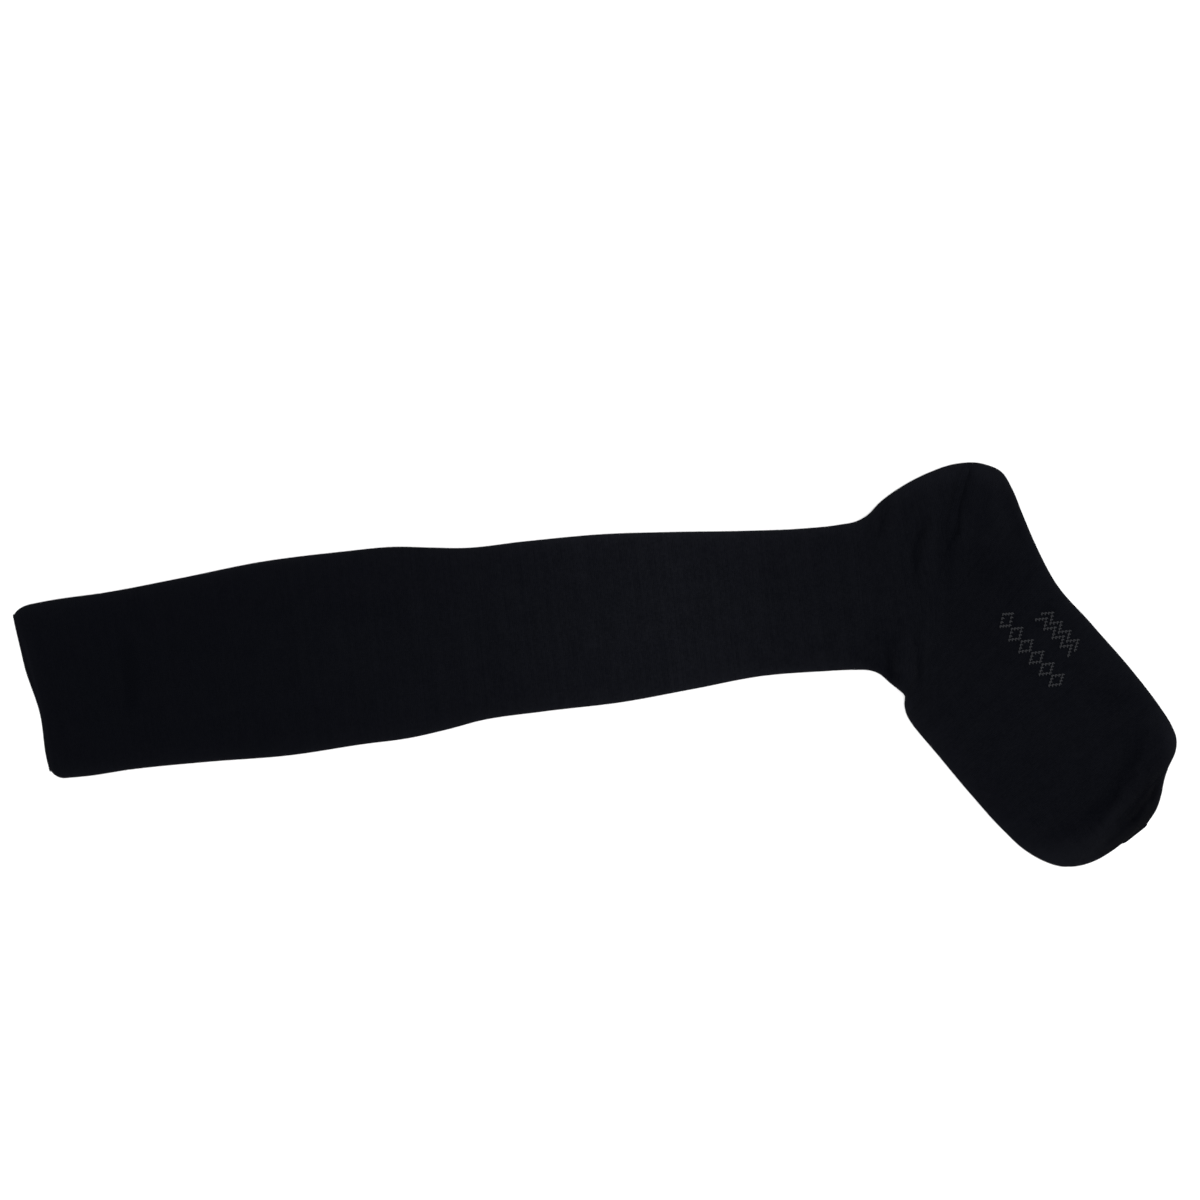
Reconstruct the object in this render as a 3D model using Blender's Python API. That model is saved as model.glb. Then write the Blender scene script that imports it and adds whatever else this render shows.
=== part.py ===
"""A knee-high compression stocking, laid flat on its side.

The stocking is one knitted tube, flattened so that its two layers lie on each other. It is
built from sections: straight lines across the flat tube, each from the front edge (shin,
instep) to the back edge (calf, heel, sole). Every section carries a closed ring round the
outside of the cloth and one round the inside, a wall's thickness further in.

The frame: +X runs along the leg from the top edge to the heel, +Y points to the calf's side,
+Z points up, and the underside lies on Z = 0. Sizes below are in millimetres.
"""

import math
from typing import NamedTuple

import bmesh
import bpy
import numpy as np

MM = 0.001  # metres in a millimetre

LEG_WALL = 1.1  # one layer of compression knit
BAND_WALL = 1.4  # the turned band holds two thinner layers
BAND_STEP = 0.4  # the doubled band stands this much higher than the leg
SEAM_GAP = 0.3  # clear space between two pieces that are joined
SHOULDER = 9.0  # how far the stiff folded edge keeps the cloth raised
LEAST_HOLLOW = 0.3  # the two layers never come closer than this

CORNER_RADIUS = 3.5  # round corners of the top edge
EDGE_WAVE = 1.9  # the relaxed top edge dips this far, a little in front of its middle
EDGE_WAVE_PLACE = 0.36  # share of the width, from the front edge
EDGE_WAVE_REACH = 0.33  # share of the width, to each side
EDGE_WAVE_DEPTH = 14.0  # the wave fades out this far down the band
BAND_RINGS = (0.0, 0.5, 1.5, CORNER_RADIUS, 9.0, EDGE_WAVE_DEPTH, 28.0)  # from the top edge

TOP_POINTS = 20  # across the upper layer of a ring
EDGE_POINTS = 3  # inside each folded edge of a ring
EDGE_SPREAD = 2.2  # the folded edges are this much longer than a half circle
UNDER_POINTS = 7  # across the flat lower layer of a ring
FOLD_PATH_POINTS = 13  # along a fold's bent line
FOLD_TAPER = 0.12  # share of a half wave that is left off each end of a fold
TIP_WALL_RINGS = 2  # the hollow stops this many rings before the closed tip

KNIT_ROUGHNESS = 0.9
BAND_COLOUR = (0.0070, 0.0075, 0.0105, 1.0)
LEG_COLOUR = (0.0080, 0.0085, 0.0120, 1.0)
TOE_COLOUR = (0.0075, 0.0080, 0.0115, 1.0)


class Section(NamedTuple):
    """A line across the flat tube, its two heights, and the rings up to the next section."""

    name: str
    front_x: float
    front_y: float
    back_x: float
    back_y: float
    middle: float
    edge: float
    rings: int


SECTIONS = (
    #       name            front_x front_y  back_x  back_y middle edge rings
    Section("top edge", -258.7, -1.2, -268.4, 80.9, 3.5, 3.5, 1),
    Section("band middle", -241.0, -1.7, -248.0, 82.5, 3.4, 3.5, 1),
    Section("band end", -222.0, -1.0, -225.5, 83.0, 3.3, 3.6, 2),
    Section("below knee", -185.0, -1.6, -188.0, 85.7, 3.2, 3.6, 2),
    Section("calf", -146.0, -3.0, -148.0, 89.0, 3.0, 3.6, 2),
    Section("low calf", -112.0, -1.8, -112.0, 89.3, 3.0, 3.5, 2),
    Section("calf end", -88.0, -1.3, -86.0, 88.7, 3.0, 3.5, 2),
    Section("step", -70.0, 0.7, -70.0, 86.5, 2.9, 3.4, 1),
    Section("below step", -56.0, 2.8, -55.0, 84.5, 2.8, 3.3, 1),
    Section("upper shin", -25.0, 3.7, -25.0, 84.2, 2.8, 3.3, 2),
    Section("mid shin", 12.0, 3.8, 12.0, 83.3, 2.8, 3.3, 2),
    Section("low shin", 45.0, 6.0, 45.0, 80.5, 2.8, 3.3, 2),
    Section("narrowing", 80.0, 8.4, 80.0, 77.0, 2.9, 3.3, 2),
    Section("ankle top", 107.0, 7.3, 106.0, 75.1, 3.0, 3.4, 2),
    Section("ankle", 121.5, 6.3, 122.5, 74.9, 3.3, 3.5, 1),
    Section("ankle end", 128.5, 5.3, 132.0, 75.9, 3.6, 3.7, 1),
    Section("heel start", 131.0, 4.4, 136.6, 78.0, 4.0, 3.8, 1),
    Section("heel step", 133.2, 3.1, 142.6, 83.0, 4.5, 3.9, 2),
    Section("heel rise", 135.4, 1.0, 154.5, 89.6, 5.2, 4.2, 3),
    Section("heel back", 137.8, -1.8, 167.7, 94.5, 6.2, 4.6, 4),
    Section("heel tip", 141.1, -5.1, 180.7, 97.0, 6.6, 4.8, 4),
    Section("heel corner", 143.5, -7.8, 192.2, 95.8, 6.6, 4.8, 3),
    Section("heel turn", 143.9, -9.3, 201.0, 91.0, 6.2, 4.6, 3),
    Section("heel base", 143.4, -11.5, 205.3, 82.3, 5.8, 4.4, 2),
    Section("under heel", 143.3, -14.3, 208.4, 71.4, 5.4, 4.2, 2),
    Section("arch start", 144.0, -18.0, 213.0, 55.7, 5.0, 4.0, 2),
    Section("arch", 146.3, -22.9, 219.5, 38.2, 4.7, 4.0, 2),
    Section("mid foot", 155.6, -37.1, 234.7, 15.4, 4.4, 4.0, 2),
    Section("ball", 170.0, -59.0, 250.9, -8.2, 4.4, 4.0, 2),
    Section("toe base", 182.5, -76.5, 262.8, -28.1, 4.4, 4.0, 2),
    Section("toes", 190.9, -86.4, 267.0, -37.0, 4.6, 4.0, 2),
    Section("toe bend", 198.2, -92.2, 268.5, -43.6, 4.7, 4.0, 2),
    Section("toe notch", 204.7, -95.7, 267.3, -49.4, 4.8, 4.0, 2),
    Section("toe seam", 211.0, -97.3, 263.1, -56.4, 5.0, 4.0, 2),
    Section("past seam", 217.4, -97.3, 260.7, -61.6, 4.6, 3.8, 2),
    Section("toe crescent", 224.2, -95.8, 258.6, -68.2, 4.2, 3.6, 2),
    Section("near tip", 231.0, -92.9, 255.4, -75.2, 3.6, 3.2, 2),
    Section("tip", 237.6, -89.3, 250.4, -81.5, 1.8, 1.6, 0),
)


class Fold(NamedTuple):
    """A soft crease on the upper layer, along a bent line. Its rise is below 0 in a trough."""

    name: str
    start_x: float
    start_y: float
    bend_x: float
    bend_y: float
    end_x: float
    end_y: float
    half_width: float
    rise: float


FOLDS = (
    #    name            start_x start_y bend_x bend_y  end_x  end_y half rise
    Fold("heel trough", 187.5, 98.0, 172.0, 73.0, 172.0, 48.0, 5.0, -1.9),
    Fold("second trough", 164.0, 73.0, 155.0, 62.0, 155.0, 43.0, 3.6, -1.1),
    Fold("short trough", 147.0, 85.5, 143.5, 79.0, 141.0, 67.0, 4.0, -1.0),
    Fold("heel pad", 200.0, 89.0, 200.0, 74.0, 196.0, 56.0, 9.0, 0.7),
    Fold("heel ridge", 172.0, 90.0, 164.0, 70.0, 162.0, 46.0, 5.0, 0.7),
    Fold("instep trough", 139.0, -3.0, 138.5, 7.0, 140.0, 19.0, 4.5, -1.2),
    Fold("instep ridge", 145.5, -8.0, 147.5, 5.0, 148.0, 20.0, 4.0, 0.7),
    Fold("toe trough", 251.5, -33.0, 242.5, -70.0, 214.0, -77.0, 6.5, -1.5),
    Fold("seam ridge", 254.0, -55.0, 241.0, -71.5, 214.0, -94.0, 5.0, 0.8),
    Fold("calf trace", -86.0, 88.0, -78.0, 44.0, -62.0, 4.0, 8.0, 0.3),
)


class Line(NamedTuple):
    """A section's line in plan with its heights, ready to carry a ring."""

    front: np.ndarray
    back: np.ndarray
    middle: float
    edge: float
    wave: float = 0.0


def clear_scene():
    for leftover in list(bpy.data.objects):
        bpy.data.objects.remove(leftover, do_unlink=True)


def section_values():
    """The table as rows of numbers, and each row's place along the tube."""
    values = np.array([section[1:7] for section in SECTIONS])
    steps = np.diff(values, axis=0)
    lengths = (np.hypot(steps[:, 0], steps[:, 1]) + np.hypot(steps[:, 2], steps[:, 3])) / 2
    return values, np.concatenate([[0.0], np.cumsum(lengths)])


VALUES, PLACES = section_values()
NAMES = [section.name for section in SECTIONS]


def slopes():
    """How fast each column changes at each section, from the sections on both sides."""
    spans = np.diff(PLACES)[:, None]
    rates = np.diff(VALUES, axis=0) / spans
    inner = (rates[:-1] * spans[1:] + rates[1:] * spans[:-1]) / (spans[:-1] + spans[1:])
    return np.vstack([rates[:1], inner, rates[-1:]])


SLOPES = slopes()


def line_at(place):
    """The section line at a place along the tube, on a smooth curve through the table."""
    row = min(int(np.searchsorted(PLACES, place, side="right")) - 1, len(PLACES) - 2)
    span = PLACES[row + 1] - PLACES[row]
    t = (place - PLACES[row]) / span
    values = (
        (2 * t**3 - 3 * t**2 + 1) * VALUES[row]
        + (t**3 - 2 * t**2 + t) * span * SLOPES[row]
        + (3 * t**2 - 2 * t**3) * VALUES[row + 1]
        + (t**3 - t**2) * span * SLOPES[row + 1]
    )
    return Line(values[0:2], values[2:4], values[4], values[5])


def lines_between(first, last):
    """The lines from one named section to another, with the rings that the table asks for."""
    start, stop = NAMES.index(first), NAMES.index(last)
    places = []
    for row in range(start, stop):
        share = np.arange(SECTIONS[row].rings) / SECTIONS[row].rings
        places.extend(PLACES[row] + share * (PLACES[row + 1] - PLACES[row]))
    places.append(PLACES[stop])
    return [line_at(place) for place in places]


def moved(line, distance):
    """The line shifted along the tube, square to itself."""
    across = (line.back - line.front) / np.linalg.norm(line.back - line.front)
    onward = np.array([across[1], -across[0]]) * distance
    return line._replace(front=line.front + onward, back=line.back + onward)


def narrowed(line, inset):
    """The line with both of its ends drawn in."""
    across = (line.back - line.front) / np.linalg.norm(line.back - line.front)
    return line._replace(front=line.front + across * inset, back=line.back - across * inset)


def fold_path(fold):
    """Points along a fold's bent line, a smooth arc pulled towards its bend."""
    t = np.linspace(0.0, 1.0, FOLD_PATH_POINTS)[:, None]
    start, bend, end = (np.array(fold[i : i + 2]) for i in (1, 3, 5))
    return (1 - t) ** 2 * start + 2 * t * (1 - t) * bend + t**2 * end


FOLD_PATHS = [(fold, fold_path(fold)) for fold in FOLDS]


def fold_rise(x, y):
    """How far the folds lift or sink the upper layer at a place in plan."""
    total = 0.0
    for fold, path in FOLD_PATHS:
        starts, steps = path[:-1], np.diff(path, axis=0)
        offsets = np.array([x, y]) - starts
        along = np.sum(offsets * steps, axis=1) / np.sum(steps * steps, axis=1)
        along = np.clip(along, 0.0, 1.0)
        gaps = np.linalg.norm(offsets - along[:, None] * steps, axis=1)
        nearest = int(np.argmin(gaps))
        share = (nearest + along[nearest]) / len(steps)
        fade = math.sin(math.pi * (FOLD_TAPER + (1 - 2 * FOLD_TAPER) * share))
        reach = min(gaps[nearest] / fold.half_width, 1.0)
        total += fold.rise * fade * (1 + math.cos(math.pi * reach)) / 2
    return total


def wave_share(share):
    """How much of the top edge's wave a place across the width takes, from 0 to 1."""
    reach = min(abs(share - EDGE_WAVE_PLACE) / EDGE_WAVE_REACH, 1.0)
    return (1 + math.cos(math.pi * reach)) / 2


def ring_profile(line, depth):
    """A ring seen along the tube, this far inside the cloth's outer side.

    Each entry is a place across the width, a height, and how much of a fold's rise it takes.
    The ring runs over the upper layer, round the back edge, under, and round the front edge.
    """
    width = float(np.linalg.norm(line.back - line.front))
    bend = line.edge / 2
    spread = min(bend * EDGE_SPREAD, width / 4)
    rise, reach = bend - depth, spread - depth
    turns = [math.pi * step / (EDGE_POINTS + 1) for step in range(1, EDGE_POINTS + 1)]

    profile = []
    for share in np.linspace(0.0, 1.0, TOP_POINTS):
        place = spread + share * (width - 2 * spread)
        inwards = min(place, width - place) - spread
        height = line.middle + (line.edge - line.middle) * math.exp(-((inwards / SHOULDER) ** 2))
        profile.append((place, height - depth, 1.0))
    for turn in turns:
        lift = (1 + math.cos(turn)) / 2
        profile.append((width - spread + reach * math.sin(turn), bend + rise * math.cos(turn), lift))
    for share in np.linspace(1.0, 0.0, UNDER_POINTS):
        profile.append((spread + share * (width - 2 * spread), depth, 0.0))
    for turn in turns:
        lift = (1 - math.cos(turn)) / 2
        profile.append((spread - reach * math.sin(turn), bend - rise * math.cos(turn), lift))
    return profile


def add_ring(mesh, line, wall, inside):
    """The ring's points in the mesh, on the cloth's outer or inner side."""
    depth = wall if inside else 0.0
    lowest_top = LEAST_HOLLOW + 2 * wall - depth
    width = float(np.linalg.norm(line.back - line.front))
    across = (line.back - line.front) / width
    onward = np.array([across[1], -across[0]])
    ring = []
    for place, height, lift in ring_profile(line, depth):
        x, y = line.front + across * place + onward * line.wave * wave_share(place / width)
        if lift:
            height += lift * fold_rise(x, y)
        if lift == 1.0:
            height = max(height, lowest_top)
        ring.append(mesh.verts.new((x * MM, y * MM, height * MM)))
    return ring


def join_rings(mesh, one, other):
    """Quads from each ring to the next, all the way round."""
    count = len(one)
    for i in range(count):
        after = (i + 1) % count
        mesh.faces.new((one[i], one[after], other[after], other[i]))


def tube_mesh(name, lines, wall, closed_tip=False):
    """A knitted wall along these lines, open at both ends or closed at the far one."""
    mesh = bmesh.new()
    hollow_lines = lines[:-TIP_WALL_RINGS] if closed_tip else lines
    outer = [add_ring(mesh, line, wall, inside=False) for line in lines]
    inner = [add_ring(mesh, line, wall, inside=True) for line in hollow_lines]
    for one, other in zip(outer, outer[1:]):
        join_rings(mesh, one, other)
    for one, other in zip(inner, inner[1:]):
        join_rings(mesh, other, one)
    join_rings(mesh, inner[0], outer[0])
    if closed_tip:
        mesh.faces.new(outer[-1])
        mesh.faces.new(inner[-1])
    else:
        join_rings(mesh, outer[-1], inner[-1])
    bmesh.ops.recalc_face_normals(mesh, faces=mesh.faces)
    data = bpy.data.meshes.new(name)
    mesh.to_mesh(data)
    mesh.free()
    data.shade_smooth()
    return data


def knit_material(name, colour):
    material = bpy.data.materials.new(name)
    material.use_nodes = True
    shader = material.node_tree.nodes["Principled BSDF"]
    shader.inputs["Base Color"].default_value = colour
    shader.inputs["Roughness"].default_value = KNIT_ROUGHNESS
    shader.inputs["Metallic"].default_value = 0.0
    return material


def add_piece(mesh, colour):
    """Places a mesh in the scene as a piece of its own name, in its own knit."""
    mesh.materials.append(knit_material(mesh.name + "_knit", colour))
    piece = bpy.data.objects.new(mesh.name, mesh)
    bpy.context.scene.collection.objects.link(piece)


def band_lines():
    """The turned band: its corners are rounded off at the top edge, and it stands higher."""
    lines = []
    for distance in BAND_RINGS:
        short = max(CORNER_RADIUS - distance, 0.0)
        inset = CORNER_RADIUS - math.sqrt(CORNER_RADIUS**2 - short**2)
        wave = EDGE_WAVE * max(1 - distance / EDGE_WAVE_DEPTH, 0.0)
        line = narrowed(line_at(PLACES[0] + distance), inset)
        lines.append(line._replace(wave=wave))
    lines.append(moved(line_at(PLACES[NAMES.index("band end")]), -SEAM_GAP / 2))
    return [
        line._replace(middle=line.middle + BAND_STEP, edge=line.edge + BAND_STEP)
        for line in lines
    ]


def leg_and_foot_lines():
    lines = lines_between("band end", "toe seam")
    lines[0] = moved(lines[0], SEAM_GAP / 2)
    lines[-1] = moved(lines[-1], -SEAM_GAP / 2)
    return lines


def toe_cap_lines():
    lines = lines_between("toe seam", "tip")
    lines[0] = moved(lines[0], SEAM_GAP / 2)
    return lines


def main():
    clear_scene()
    add_piece(tube_mesh("welt_band", band_lines(), BAND_WALL), BAND_COLOUR)
    add_piece(tube_mesh("leg_and_foot", leg_and_foot_lines(), LEG_WALL), LEG_COLOUR)
    add_piece(tube_mesh("toe_cap", toe_cap_lines(), LEG_WALL, closed_tip=True), TOE_COLOUR)


main()
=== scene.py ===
# %% [markdown]
# # A knee-high compression stocking, laid flat
#
# The stocking is one knitted tube with a turned top band, a knitted-in heel and a linked toe
# seam. It lies on its side on a pale table, so its two layers rest on each other. This lesson
# dresses the plain solids of the model: each solid is replaced by a thin cloth shell on the
# same form, with finer rings, small creases and a knit that follows the tube.

# %% Load the fixed frame
import math
import random
from typing import NamedTuple

import bmesh
import bpy
import numpy as np
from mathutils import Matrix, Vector, noise


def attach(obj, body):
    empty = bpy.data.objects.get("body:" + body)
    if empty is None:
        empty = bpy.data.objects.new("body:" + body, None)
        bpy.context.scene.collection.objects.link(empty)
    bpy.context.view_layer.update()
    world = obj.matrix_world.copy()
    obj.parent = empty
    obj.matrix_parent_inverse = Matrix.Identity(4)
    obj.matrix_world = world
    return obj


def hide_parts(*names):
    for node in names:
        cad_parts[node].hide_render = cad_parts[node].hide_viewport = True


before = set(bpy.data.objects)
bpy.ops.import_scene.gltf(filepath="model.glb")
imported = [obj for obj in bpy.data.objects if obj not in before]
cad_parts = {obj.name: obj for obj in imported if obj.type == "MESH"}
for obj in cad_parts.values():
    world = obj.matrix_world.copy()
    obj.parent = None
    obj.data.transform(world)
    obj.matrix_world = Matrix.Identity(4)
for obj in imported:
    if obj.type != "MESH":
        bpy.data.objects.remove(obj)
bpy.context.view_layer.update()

MM = 0.001  # metres in a millimetre

# %% [markdown]
# ## Three small curves
#
# The same few shapes come back all through the script: a share of a length, a gentle start and
# stop, and a hump that fades to both sides.

# %% Small curves
def share_of(distance, length):
    """A distance as a share of a length, never below 0 or above 1."""
    return np.clip(distance / length, 0.0, 1.0)


def eased(share):
    """The same share with a gentle start and stop."""
    return share**2 * (3 - 2 * share)


def hump(reach):
    """1 in the middle, falling softly to 0 at a reach of 1."""
    return (1 + np.cos(math.pi * np.minimum(reach, 1.0))) / 2


# %% [markdown]
# ## The stocking's form
#
# A flat tube is easiest to describe by lines across it. Each section below is a line from the
# front edge (shin, instep) to the back edge (calf, heel, sole), with the cloth's height in the
# middle and at the folded edges. A smooth curve through the table gives a line at any place
# along the tube, so the shells can have as many rings as they need. The sizes are the
# model's own, in millimetres.

# %% The sections across the tube
LEG_WALL = 1.1  # one layer of compression knit
BAND_WALL = 1.4  # the turned band holds two thinner layers
BAND_STEP = 0.4  # the doubled band stands this much higher than the leg
SHOULDER = 9.0  # how far the stiff folded edge keeps the cloth raised
LEAST_HOLLOW = 0.3  # the two layers never come closer than this


class Section(NamedTuple):
    """A line across the flat tube, and the cloth's two heights there."""

    name: str
    front_x: float
    front_y: float
    back_x: float
    back_y: float
    middle: float
    edge: float


SECTIONS = tuple(Section(*row) for row in (
    # name, front_x, front_y, back_x, back_y, middle, edge
    ("top edge", -258.7, -1.2, -268.4, 80.9, 3.5, 3.5),
    ("band middle", -241.0, -1.7, -248.0, 82.5, 3.4, 3.5),
    ("band end", -222.0, -1.0, -225.5, 83.0, 3.3, 3.6),
    ("below knee", -185.0, -1.6, -188.0, 85.7, 3.2, 3.6),
    ("calf", -146.0, -3.0, -148.0, 89.0, 3.0, 3.6),
    ("low calf", -112.0, -1.8, -112.0, 89.3, 3.0, 3.5),
    ("calf end", -88.0, -1.3, -86.0, 88.7, 3.0, 3.5),
    ("step", -70.0, 0.7, -70.0, 86.5, 2.9, 3.4),
    ("below step", -56.0, 2.8, -55.0, 84.5, 2.8, 3.3),
    ("upper shin", -25.0, 3.7, -25.0, 84.2, 2.8, 3.3),
    ("mid shin", 12.0, 3.8, 12.0, 83.3, 2.8, 3.3),
    ("low shin", 45.0, 6.0, 45.0, 80.5, 2.8, 3.3),
    ("narrowing", 80.0, 8.4, 80.0, 77.0, 2.9, 3.3),
    ("ankle top", 107.0, 7.3, 106.0, 75.1, 3.0, 3.4),
    ("ankle", 121.5, 6.3, 122.5, 74.9, 3.3, 3.5),
    ("ankle end", 128.5, 5.3, 132.0, 75.9, 3.6, 3.7),
    ("heel start", 131.0, 4.4, 136.6, 78.0, 4.0, 3.8),
    ("heel step", 133.2, 3.1, 142.6, 83.0, 4.5, 3.9),
    ("heel rise", 135.4, 1.0, 154.5, 89.6, 5.2, 4.2),
    ("heel back", 137.8, -1.8, 167.7, 94.5, 6.2, 4.6),
    ("heel tip", 141.1, -5.1, 180.7, 97.0, 6.6, 4.8),
    ("heel corner", 143.5, -7.8, 192.2, 95.8, 6.6, 4.8),
    ("heel turn", 143.9, -9.3, 201.0, 91.0, 6.2, 4.6),
    ("heel base", 143.4, -11.5, 205.3, 82.3, 5.8, 4.4),
    ("under heel", 143.3, -14.3, 208.4, 71.4, 5.4, 4.2),
    ("arch start", 144.0, -18.0, 213.0, 55.7, 5.0, 4.0),
    ("arch", 146.3, -22.9, 219.5, 38.2, 4.7, 4.0),
    ("mid foot", 155.6, -37.1, 234.7, 15.4, 4.4, 4.0),
    ("ball", 170.0, -59.0, 250.9, -8.2, 4.4, 4.0),
    ("toe base", 182.5, -76.5, 262.8, -28.1, 4.4, 4.0),
    ("toes", 190.9, -86.4, 267.0, -37.0, 4.6, 4.0),
    ("toe bend", 198.2, -92.2, 268.5, -43.6, 4.7, 4.0),
    ("toe notch", 204.7, -95.7, 267.3, -49.4, 4.8, 4.0),
    ("toe seam", 211.0, -97.3, 263.1, -56.4, 5.0, 4.0),
    ("past seam", 217.4, -97.3, 260.7, -61.6, 4.6, 3.8),
    ("toe crescent", 224.2, -95.8, 258.6, -68.2, 4.2, 3.6),
    ("near tip", 231.0, -92.9, 255.4, -75.2, 3.6, 3.2),
    ("tip", 237.6, -89.3, 250.4, -81.5, 1.8, 1.6),
))


def section_values():
    """The table as rows of numbers, and each row's place along the tube."""
    values = np.array([section[1:7] for section in SECTIONS])
    steps = np.diff(values, axis=0)
    lengths = (np.hypot(steps[:, 0], steps[:, 1]) + np.hypot(steps[:, 2], steps[:, 3])) / 2
    return values, np.concatenate([[0.0], np.cumsum(lengths)])


VALUES, PLACES = section_values()
PLACE_OF = {section.name: place for section, place in zip(SECTIONS, PLACES)}


def slopes():
    """How fast each column changes at each section, from the sections on both sides."""
    spans = np.diff(PLACES)[:, None]
    rates = np.diff(VALUES, axis=0) / spans
    inner = (rates[:-1] * spans[1:] + rates[1:] * spans[:-1]) / (spans[:-1] + spans[1:])
    return np.vstack([rates[:1], inner, rates[-1:]])


SLOPES = slopes()
print("the tube is", round(PLACES[-1]), "mm long along its middle")

# %% [markdown]
# ## Lines anywhere along the tube
#
# The curve between two sections is a cubic that also matches their slopes, worked out for
# many places at once with NumPy. A set of lines can then be shifted along the tube, drawn in
# at its ends or raised, which is all that the band, the leg and the toe cap differ in.

# %% Lines at any place
class Lines(NamedTuple):
    """Many section lines at once: their ends in plan, their heights and the top edge's wave."""

    front: np.ndarray
    back: np.ndarray
    middle: np.ndarray
    edge: np.ndarray
    wave: np.ndarray


def lines_at(places):
    """The section lines at these places along the tube, on a smooth curve through the table."""
    places = np.asarray(places, float)
    row = np.clip(np.searchsorted(PLACES, places, side="right") - 1, 0, len(PLACES) - 2)
    span = (PLACES[row + 1] - PLACES[row])[:, None]
    t = (places[:, None] - PLACES[row][:, None]) / span
    values = (
        (2 * t**3 - 3 * t**2 + 1) * VALUES[row]
        + (t**3 - 2 * t**2 + t) * span * SLOPES[row]
        + (3 * t**2 - 2 * t**3) * VALUES[row + 1]
        + (t**3 - t**2) * span * SLOPES[row + 1]
    )
    return Lines(values[:, 0:2], values[:, 2:4], values[:, 4], values[:, 5], 0 * places)


def directions(lines):
    """Each line's width, its direction across the tube, and the direction along the tube."""
    across = lines.back - lines.front
    width = np.linalg.norm(across, axis=1)[:, None]
    across = across / width
    return width, across, np.stack([across[:, 1], -across[:, 0]], axis=1)


def moved(lines, distances):
    """The lines shifted along the tube, square to themselves."""
    shift = directions(lines)[2] * np.asarray(distances)[:, None]
    return lines._replace(front=lines.front + shift, back=lines.back + shift)


def narrowed(lines, at_front, at_back):
    """The lines with their two ends drawn in."""
    across = directions(lines)[1]
    front, back = across * at_front[:, None], across * at_back[:, None]
    return lines._replace(front=lines.front + front, back=lines.back - back)


# %% [markdown]
# ## Folds and creases
#
# Relaxed elastic knit hardly creases. What shows is the cloth that the heel leaves over, a
# pinch at the front of the ankle, and puckers where the toe is linked shut. Each is a soft
# trough or ridge along a bent line, with its own length, depth and width. The
# first rows are the large folds that the solids have too. The rows after them are finer.

# %% The folds and creases
FOLD_PATH_POINTS = 13  # along a fold's bent line
FOLD_TAPER = 0.12  # share of a half wave that is left off each end of a fold


class Fold(NamedTuple):
    """A soft crease on the upper layer, along a bent line. Its rise is below 0 in a trough."""

    name: str
    start_x: float
    start_y: float
    bend_x: float
    bend_y: float
    end_x: float
    end_y: float
    half_width: float
    rise: float


LARGE_FOLDS = (
    # name, start_x, start_y, bend_x, bend_y, end_x, end_y, half_width, rise
    ("heel trough", 187.5, 98.0, 172.0, 73.0, 172.0, 48.0, 5.0, -1.9),
    ("second trough", 164.0, 73.0, 155.0, 62.0, 155.0, 43.0, 3.6, -1.1),
    ("short trough", 147.0, 85.5, 143.5, 79.0, 141.0, 67.0, 4.0, -1.0),
    ("heel pad", 200.0, 89.0, 200.0, 74.0, 196.0, 56.0, 9.0, 0.7),
    ("heel ridge", 172.0, 90.0, 164.0, 70.0, 162.0, 46.0, 5.0, 0.7),
    ("instep trough", 139.0, -3.0, 138.5, 7.0, 140.0, 19.0, 4.5, -1.2),
    ("instep ridge", 145.5, -8.0, 147.5, 5.0, 148.0, 20.0, 4.0, 0.7),
    ("toe trough", 251.5, -33.0, 242.5, -70.0, 214.0, -77.0, 6.5, -1.5),
    ("seam ridge", 254.0, -55.0, 241.0, -71.5, 214.0, -94.0, 5.0, 0.8),
    ("calf trace", -86.0, 88.0, -78.0, 44.0, -62.0, 4.0, 8.0, 0.3),
)
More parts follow.
